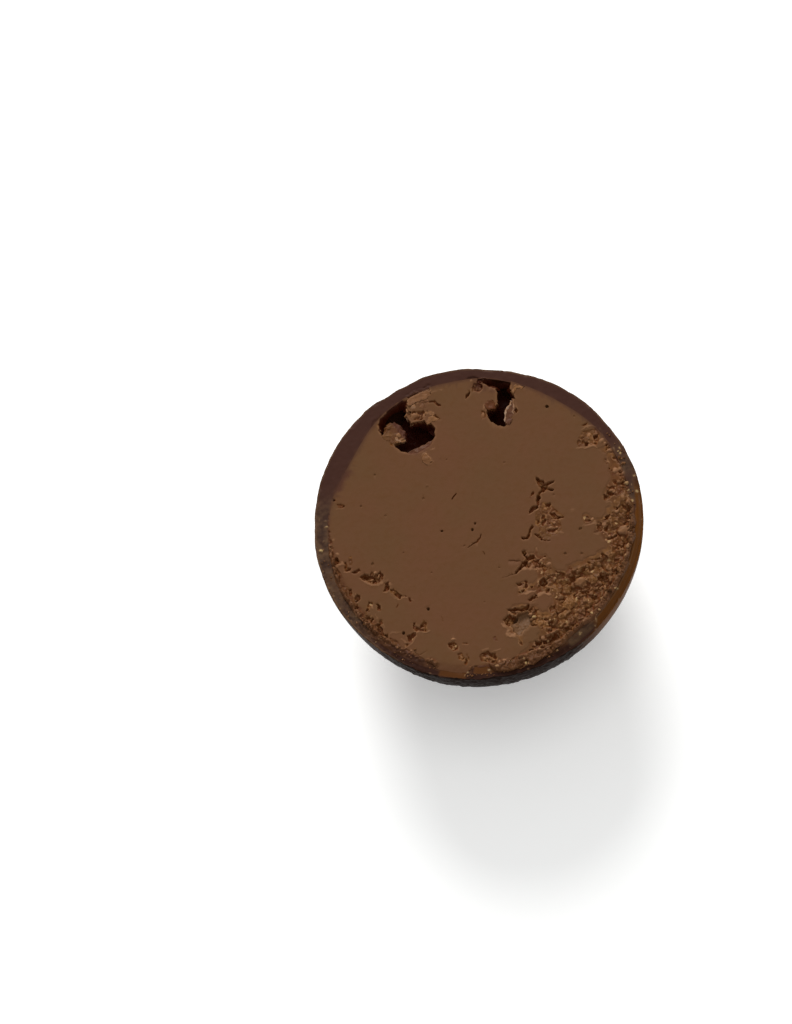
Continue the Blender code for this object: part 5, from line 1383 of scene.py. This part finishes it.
def paint_coat(obj, coat):
    """Paints the coat's zones on its skin and on its cut."""
    x, y, _ = coat.place
    azimuth, up = coat.azimuth, coat.up
    far = np.hypot(x, y)
    outer = RADIUS_MM + np.maximum(by_azimuth(RIM_EDGE, azimuth), 0.0)
    patchy = grain(coat.place, 0.7, 81)

    # orange-brown chocolate: on the bent rim, on the skin below it, and in two strips on the cut
    warm_skin = sector(azimuth, -22.0, 42.0, 28.0) * smooth(up + 0.5 * patchy, -4.8, -1.6)
    broad = 0.30 * sector(azimuth, -18.0, 24.0, 14.0)
    warm_ring = soft_rim(azimuth) * smooth(far + 0.05 * patchy + broad, outer - 0.62, outer - 0.42)
    warm_ring = warm_ring * smooth(away(azimuth, -45.0) + 2.0 * patchy, -2.0, 2.0)
    shifted = azimuth + 0.5 * patchy
    long_strip = sector(shifted, -98.9, 5.4, 4.4) * band(far - outer + 0.37, 0.30, 0.24)
    bow = 0.08 * (away(azimuth, -88.0) / 4.0) ** 2
    short_strip = sector(shifted, -88.0, 4.2, 3.4) * smooth(outer - 0.50 - bow - far, -0.03, 0.03)
    strips = np.maximum(long_strip, short_strip)

    # grey, crumbled stretches of the cut
    dull = band(away(azimuth, -50.0) + 2.0 * patchy, 7.0, 4.0) * smooth(far, 12.9, 13.2)
    dull = dull * (1.0 - smooth(far, outer - 0.30, outer - 0.15)) * (0.85 + 0.7 * grain(coat.place, 0.3, 82))
    grey = sector(azimuth, -160.0, 38.0, 20.0) * (0.70 + 0.15 * patchy)
    grey = np.maximum(grey, 0.85 * dull)
    grey = np.maximum(grey, sector(azimuth, 16.0, 15.0, 8.0) * (0.55 + 0.3 * patchy))

    # ganache smeared on the cut, away from its outer edge
    smear = ganache_on_coat(azimuth) * (1.0 - smooth(far, outer - 0.58, outer - 0.42))
    smear = smear * (0.6 + 0.35 * patchy) * smooth(-grey, -0.9, -0.2)
    smear = np.maximum(smear, 0.35 * smooth(coat.share, 0.80, 1.0)) * (1.0 - strips)

    # thin dry edges, and a painted highlight along the rounded outer edge
    line = band(far - RADIUS_MM + 0.45, 0.06, 0.02) * sector(azimuth, -28.0, 22.0, 14.0)
    # painted highlight: a light line along the rounded outer edge
    rim_highlight = smooth(far, coat.edge - 0.20, coat.edge - 0.10)
    rim_highlight = rim_highlight * smooth(np.abs(away(azimuth, -50.0)), 62.0, 80.0) * (0.42 + 0.25 * patchy)
    dry = 0.55 * line + rim_highlight + 0.40 * dull * (1.0 + 0.5 * patchy)
    dry = np.maximum(sample("pale", x, y), dry)

    front = sector(azimuth, -74.0, 85.0, 45.0)
    dark = sector(azimuth, -92.0, 44.0, 26.0) * smooth(far, 12.8, 13.1) * (0.8 + 0.2 * patchy)
    on_ring = coat.on_ring
    paint(obj, "warm", np.where(on_ring, np.maximum(warm_ring, 0.65 * strips), warm_skin))
    paint(obj, "scuff_and_shade", np.where(coat.on_skin, coat.scuff_and_shade, 0.0))
    paint(obj, "sealed", smooth(-up, 0.9 + 4.0 * front, 2.8 + 4.5 * front))
    paint(obj, "grey", np.where(on_ring, np.clip(grey, 0.0, 1.0), 0.0))
    paint(obj, "smear", np.where(on_ring, np.clip(smear, 0.0, 1.0), 0.0))
    paint(obj, "dry", np.where(on_ring | (up > -0.1), dry, 0.0))
    paint(obj, "dark", np.where(on_ring, dark, 0.0))


class PRALINE_OT_coat(bpy.types.Operator):
    """Spins the dipped coat, uneven at its wall and chipped at its rim"""

    bl_idname = "praline.coat"
    bl_label = "Build the coat"

    def execute(self, context):
        colours = context.scene.praline_colours
        coat = spin_section("dipped_coat", coat_section(), COAT_STEPS)
        zones = shape_coat(coat)
        paint_coat(coat, zones)
        finish_with(coat, dipped_chocolate(colours), cut_chocolate(colours))
        assign_zone(coat, 1, zones.on_ring)
        coat.data.shade_smooth()
        coat.data.set_sharp_from_angle(angle=math.radians(50.0))
        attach(coat, "root")
        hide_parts("chocolate_coat")
        return {"FINISHED"}


def torn_knife():
    """What the knife takes off the ganache: a fine block whose underside is the torn cut."""
    steps = int(2.0 * MAP_REACH / MAP_STEP)
    bpy.ops.mesh.primitive_grid_add(
        x_subdivisions=steps, y_subdivisions=steps, size=2.0 * MAP_REACH * MM, location=CENTRE
    )
    obj = bpy.context.object
    obj.name = "torn_knife"
    apply_place(obj)
    x, y, _ = points_of(obj)
    move_points(obj, x, y, sample("height", x, y))
    activate(obj)
    bpy.ops.object.mode_set(mode="EDIT")
    bpy.ops.mesh.select_all(action="DESELECT")
    bpy.ops.mesh.select_non_manifold()
    above = (0.0, 0.0, 1.1 * BALL_RADIUS)
    bpy.ops.mesh.extrude_edges_move(TRANSFORM_OT_translate={"value": above})
    bpy.ops.mesh.edge_face_add()
    face_outwards()
    return obj


def cavern_cutter():
    """The hollows under the two mouths: lumpy lobes made one body."""
    lobes = []
    for x, y, z, half_length, half_width, half_height, turn in CAVERNS:
        bpy.ops.mesh.primitive_ico_sphere_add(subdivisions=5, radius=1.0)
        obj = bpy.context.object
        size = Matrix.Diagonal((half_length * MM, half_width * MM, half_height * MM, 1.0))
        place = Matrix.Translation((x * MM, y * MM, CUT_HEIGHT + z * MM))
        obj.data.transform(place @ Matrix.Rotation(math.radians(turn), 4, "Z") @ size)
        lobes.append(obj)
    caverns = join_all(lobes, "caverns")
    apply_modifier(caverns, "fuse", "REMESH", mode="VOXEL", voxel_size=CAVERN_VOXEL * MM)
    x, y, z = points_of(caverns)
    shift_x = 0.16 * grain((x, y, z), 0.8, 61) + 0.08 * grain((x, y, z), 0.3, 62)
    shift_y = 0.16 * grain((x, y, z), 0.8, 63) + 0.08 * grain((x, y, z), 0.3, 64)
    shift_z = 0.16 * grain((x, y, z), 0.8, 65)
    move_points(caverns, x + shift_x, y + shift_y, np.minimum(z + shift_z, CAVERN_ROOF))
    return caverns


def shape_filling(obj):
    """Gives a ball the ganache's outer shape: it fills the coat and lies on part of the coat's cut."""
    x, y, z = points_of(obj)
    dx, dy, dz = unit_directions(x, y, z)
    azimuth = np.degrees(np.arctan2(dy, dx))
    spread = by_azimuth(OVERLAP, azimuth)
    ragged = 0.8 * grain((x, y, z), 0.7, 71) + 0.5 * grain((x, y, z), 0.3, 73)
    spread = spread + np.minimum(spread, 0.2) * ragged * (1.0 - 0.8 * clean_edge(azimuth))
    reach = RADIUS_MM - coat_wall(azimuth, 1.0 - dz**2) + SKIRT + spread * smooth(z, -1.4, -0.1)
    reach = np.minimum(reach, RADIUS_MM - 0.26 + by_azimuth(RIM_EDGE, azimuth))
    move_points(obj, dx * reach, dy * reach, dz * reach)


def paint_filling(obj):
    """Paints the ganache's zones from the maps of the cut, faded out down in the holes, with painted shade down in
    the holes and on their walls beside the coat.
    """
    x, y, z = points_of(obj)
    azimuth = np.degrees(np.arctan2(y, x))
    over_coat = beyond_wall(np.hypot(x, y), azimuth)
    covered = ganache_on_coat(azimuth)
    on_face = smooth(z, -2.0, -1.4)
    mouths = sample("mouths", x, y)
    for name in ("tone", "rusty"):
        paint(obj, name, sample(name, x, y))
    for name in ("bare", "stained", "hollow"):
        paint(obj, name, sample(name, x, y) * on_face)
    paint(obj, "torn", np.maximum(sample("torn", x, y) * on_face, smooth(-z, 0.45, 0.8)))
    paint(obj, "pale", sample("pale", x, y) * smooth(z, -0.7, -0.3))
    paint(obj, "edge", sample("edge", x, y) * smooth(z, -0.8, -0.4))

    # painted shade: darker the deeper below the cut, down in the mouths, and on the upper walls beside the coat
    below_rim = smooth(-z, 0.02, 0.10) * smooth(azimuth, 60.0, 70.0)
    deep = np.maximum(smooth(-z, 0.50, 1.5), mouths * smooth(-z, 0.12, 0.50))
    paint(obj, "deep", np.maximum(deep, 0.9 * smooth(over_coat, -0.30, -0.12) * below_rim))
    # painted shade: the holes' upper walls beside the coat, in the coat's dark red-brown darkened as shade
    wall = smooth(over_coat, -1.1, -0.5) * below_rim * mouths
    paint(obj, "wall", 0.95 * wall * (1.0 - smooth(-z, 0.5, 2.0)))
    margin = smooth(over_coat, -0.22 + 0.06 * grain((x, y, z), 0.5, 72), 0.05)
    paint(obj, "rim", 0.55 * (1.0 - covered) * margin)
    paint(obj, "over_ring", 0.8 * smooth(over_coat, -0.5, 0.35) * covered)


class PRALINE_OT_filling(bpy.types.Operator):
    """Cuts and tears the ganache, and opens the holes beside the coat"""

    bl_idname = "praline.filling"
    bl_label = "Build the ganache"

    def execute(self, context):
        bpy.ops.mesh.primitive_uv_sphere_add(segments=240, ring_count=120, radius=BALL_RADIUS, location=CENTRE)
        filling = context.object
        filling.name = "torn_ganache"
        apply_place(filling)
        shape_filling(filling)
        cut_away(filling, "torn_cut", torn_knife())
        cut_away(filling, "caverns", cavern_cutter())
        filling.data.calc_loop_triangles()
        before = len(filling.data.loop_triangles)
        apply_modifier(filling, "thin_out", "DECIMATE", ratio=min(1.0, FILLING_TRIANGLES / before))
        paint_filling(filling)
        finish_with(filling, cut_ganache(context.scene.praline_colours))
        filling.data.shade_smooth()
        filling.data.set_sharp_from_angle(angle=math.radians(60.0))
        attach(filling, "root")
        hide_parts("ganache_filling")
        return {"FINISHED"}


def paint_scrap(obj, **values):
    """Paints a small piece of ganache, which is torn all over, in the zones that its material reads."""
    points = len(obj.data.vertices)
    values = {"torn": 1.0, **values}
    for name in GANACHE_ZONES:
        paint(obj, name, np.broadcast_to(values.get(name, 0.0), points))


def finish_scraps(obj, colours):
    """Gives a piece of loose ganache its finish and says what it rides on."""
    finish_with(obj, cut_ganache(colours))
    obj.data.shade_smooth()
    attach(obj, "root")


def one_flake(name, low, high, bend, paleness, tone, pink, rust, outline):
    """A thick flake with worn edges, bent at its free end."""
    count = len(outline)
    places = [(x * MM, y * MM, CUT_HEIGHT + low * MM) for x, y in outline]
    obj = outline_object(name, places, [(i, (i + 1) % count) for i in range(count)])
    bpy.ops.mesh.edge_face_add()
    bpy.ops.mesh.extrude_region_move(TRANSFORM_OT_translate={"value": (0.0, 0.0, (high - low) * MM)})
    face_outwards()
    apply_modifier(obj, "clay", "REMESH", mode="VOXEL", voxel_size=FLAKE_VOXEL * MM)
    apply_modifier(obj, "wear", "SMOOTH", factor=0.5, iterations=2)

    x, y, z = points_of(obj)
    start_x, start_y, end_x, end_y, drop = bend
    run, rise = end_x - start_x, end_y - start_y
    along = ((x - start_x) * run + (y - start_y) * rise) / (run * run + rise * rise)
    along = np.clip(along, 0.0, 1.4)
    top = smooth(z, low, high)
    shake = 0.35 if name == "ledge" else 0.6 if high - low < 0.25 else 1.0
    shake_x = 0.12 * grain((x, y, z), 0.28, 91) + 0.08 * grain((x, y, z), 0.12, 92)
    shake_y = 0.12 * grain((x, y, z), 0.28, 93) + 0.08 * grain((x, y, z), 0.12, 94)
    bumps = 0.04 * grain((x, y, 0.0), 0.4, 95) + 0.02 * grain((x, y, 0.0), 0.16, 96)
    new_z = z - drop * along**2 + top * bumps
    move_points(obj, x + shake * shake_x, y + shake * shake_y, new_z)

    # the flake's edges painted paler: partly dry, partly a painted highlight
    edge = smooth(relief_edges(obj), 0.006, 0.03) * (1.0 - 0.9 * rust) * (1.0 - 0.35 * pink)
    dry = 0.65 if name == "white_edge" else 0.4 * (paleness > 0.65)
    patch = 0.5 + 0.5 * grain((x, y, z), 0.3, 97)
    paint_scrap(
        obj,
        tone=np.clip(tone + 0.5 * (patch - 0.5), 0.0, 1.0),
        pale=paleness * (0.5 + 0.7 * patch) * (0.6 + 0.6 * along) * top,
        edge=edge * (2.0 if name == "scrap" else 1.0),
        # painted shade: darker lower down on the flake
        deep=smooth(-new_z, 0.35, 0.95),
        rusty=rust,
        whitish=dry * smooth(patch, 0.25, 0.75),
        stained=pink * (smooth(along, 0.35, 0.62) if name == "knob" else 1.0),
    )
    return obj


class PRALINE_OT_flakes(bpy.types.Operator):
    """Shapes the flakes and curls that hang over the holes"""

    bl_idname = "praline.flakes"
    bl_label = "Build the flakes"

    def execute(self, context):
        made = join_all([one_flake(*flake) for flake in FLAKES], "ganache_flakes")
        finish_scraps(made, context.scene.praline_colours)
        return {"FINISHED"}


def one_crumb(pattern, rng, first, last, near, out, small, large, rarity):
    """A copy of the pattern, made a loose crumb and laid on the cut at random within a zone."""
    azimuth = math.radians(rng.uniform(first, last))
    far = rng.uniform(near, out)
    size = small + (large - small) * rng.uniform(0.0, 1.0) ** 2
    x, y = far * math.cos(azimuth), far * math.sin(azimuth)
    over_coat = beyond_wall(far, math.degrees(azimuth))
    grounds = []
    if over_coat < 0.1:
        grounds.append(float(sample("height", x, y)))
    if over_coat > 0.0:
        grounds.append(float(sample("ring", x, y)))
    mesh = pattern.data.copy()
    shape = np.empty(len(mesh.vertices) * 3, np.float32)
    mesh.vertices.foreach_get("co", shape)
    shape = shape.reshape(-1, 3) * (1.0 + rng.normal(0.0, 0.30, (len(mesh.vertices), 1)))
    mesh.vertices.foreach_set("co", shape.astype(np.float32).ravel())
    crumb = bpy.data.objects.new("crumb", mesh)
    bpy.context.scene.collection.objects.link(crumb)
    turn = Matrix.Rotation(rng.uniform(0.0, 2.0 * math.pi), 4, "Z")
    width = size * rng.uniform(0.55, 1.0)
    height = size * rng.uniform(0.45, 0.8)
    place = Matrix.Translation((x * MM, y * MM, CUT_HEIGHT + (max(grounds) + 0.2 * size) * MM))
    mesh.transform(place @ turn @ Matrix.Scale(MM, 4) @ Matrix.Diagonal((size, width, height, 1.0)))
    pale = rng.uniform(0.0, 1.0) ** rarity
    paint_scrap(crumb, tone=rng.uniform(0.2, 1.0), pale=1.3 * pale, over_ring=0.5 * (1.0 - pale))
    return crumb


class PRALINE_OT_crumbs(bpy.types.Operator):
    """Scatters loose crumbs on the edge of the ganache and on the cut coat"""

    bl_idname = "praline.crumbs"
    bl_label = "Scatter the crumbs"

    def execute(self, context):
        bpy.ops.mesh.primitive_ico_sphere_add(subdivisions=2, radius=1.0)
        pattern = context.object
        rng = np.random.default_rng(CRUMB_SEED)
        crumbs = []
        for first, last, near, out, count, small, large, rarity in SCATTERED:
            for _ in range(count):
                crumbs.append(one_crumb(pattern, rng, first, last, near, out, small, large, rarity))
        bpy.data.objects.remove(pattern)
        made = join_all(crumbs, "loose_crumbs")
        finish_scraps(made, context.scene.praline_colours)
        return {"FINISHED"}


CAMERA_TILT = math.radians(22.0)      # between the cut's upright and the line to the camera
CAMERA_AZIMUTH = math.radians(-74.0)  # the side of the cut that the camera stands on
PIXELS_PER_MM = 11.836
PHOTO_WIDTH, PHOTO_HEIGHT = 792, 1024
CENTRE_PIXEL = (477.4, 520.0)         # where the middle of the cut lies in the photograph
SENSOR = 36.0
FLOOR_GAP = 0.00002                   # keeps the floor from lying in the foot's own plane
# name, place in m, width in m, power in W
LIGHTS = (
    ("window_light", (-0.12, 0.62, 0.42), 0.45, 6.2),
    ("ceiling_light", (0.10, -0.05, 0.90), 0.60, 1.5),
)
ROOM_COLOUR = (0.98, 0.99, 1.0, 1.0)
ROOM_STRENGTH = 0.55


class PRALINE_OT_stage(bpy.types.Operator):
    """Adds the pale floor, the soft lights and the camera"""

    bl_idname = "praline.stage"
    bl_label = "Build the stage"

    def execute(self, context):
        scene = context.scene
        sizes = scene.praline_sizes
        bpy.ops.mesh.primitive_plane_add(size=sizes.floor_width, location=(0.0, 0.0, -FLOOR_GAP))
        floor = context.object
        floor.name = "pale_floor"
        floor.data.materials.append(pale_floor(scene.praline_colours))

        scene.world = bpy.data.worlds.new("soft_room")
        scene.world.use_nodes = True
        background = scene.world.node_tree.nodes["Background"]
        background.inputs["Color"].default_value = ROOM_COLOUR
        background.inputs["Strength"].default_value = ROOM_STRENGTH
        for name, place, size, power in LIGHTS:
            bpy.ops.object.light_add(type="AREA", location=place)
            light = context.object
            light.name = name
            light.data.shape = "DISK"
            light.data.size = size
            light.data.energy = power
            light.rotation_euler = (Vector(place) - CENTRE).to_track_quat("Z", "Y").to_euler()

        towards = Vector((
            math.sin(CAMERA_TILT) * math.cos(CAMERA_AZIMUTH),
            math.sin(CAMERA_TILT) * math.sin(CAMERA_AZIMUTH),
            math.cos(CAMERA_TILT),
        ))
        right = Vector((0.0, 1.0, 0.0)).cross(towards).normalized()
        up = towards.cross(right)
        pixel = MM / PIXELS_PER_MM
        off_x = (PHOTO_WIDTH / 2.0 - CENTRE_PIXEL[0]) * pixel
        off_y = (CENTRE_PIXEL[1] - PHOTO_HEIGHT / 2.0) * pixel
        aim = CENTRE + right * off_x + up * off_y
        bpy.ops.object.camera_add(location=aim + towards * sizes.camera_distance)
        camera = context.object
        camera.name = "photo_camera"
        camera.rotation_euler = Matrix((right, up, towards)).transposed().to_euler()
        camera.data.sensor_width = SENSOR
        camera.data.lens = SENSOR * sizes.camera_distance / (PHOTO_HEIGHT * pixel)
        camera.data.clip_start = 0.01
        scene.camera = camera
        scene.view_settings.view_transform = "Standard"
        return {"FINISHED"}


class VIEW3D_PT_praline(bpy.types.Panel):
    """The buttons that build each piece"""

    bl_label = "Half chocolate praline"
    bl_space_type = "VIEW_3D"
    bl_region_type = "UI"
    bl_category = "Praline"

    def draw(self, context):
        for operator in OPERATORS:
            self.layout.operator(operator.bl_idname)


OPERATORS = (PRALINE_OT_coat, PRALINE_OT_filling, PRALINE_OT_flakes, PRALINE_OT_crumbs, PRALINE_OT_stage)
CLASSES = (PralineSizes, PralineColours, *OPERATORS, VIEW3D_PT_praline)


def register():
    for made in CLASSES:
        bpy.utils.register_class(made)
    bpy.types.Scene.praline_sizes = PointerProperty(type=PralineSizes)
    bpy.types.Scene.praline_colours = PointerProperty(type=PralineColours)


def unregister():
    del bpy.types.Scene.praline_colours
    del bpy.types.Scene.praline_sizes
    for made in reversed(CLASSES):
        bpy.utils.unregister_class(made)


def main():
    register()
    bpy.ops.praline.coat()
    bpy.ops.praline.filling()
    bpy.ops.praline.flakes()
    bpy.ops.praline.crumbs()
    bpy.ops.praline.stage()


if __name__ == "__main__":
    main()
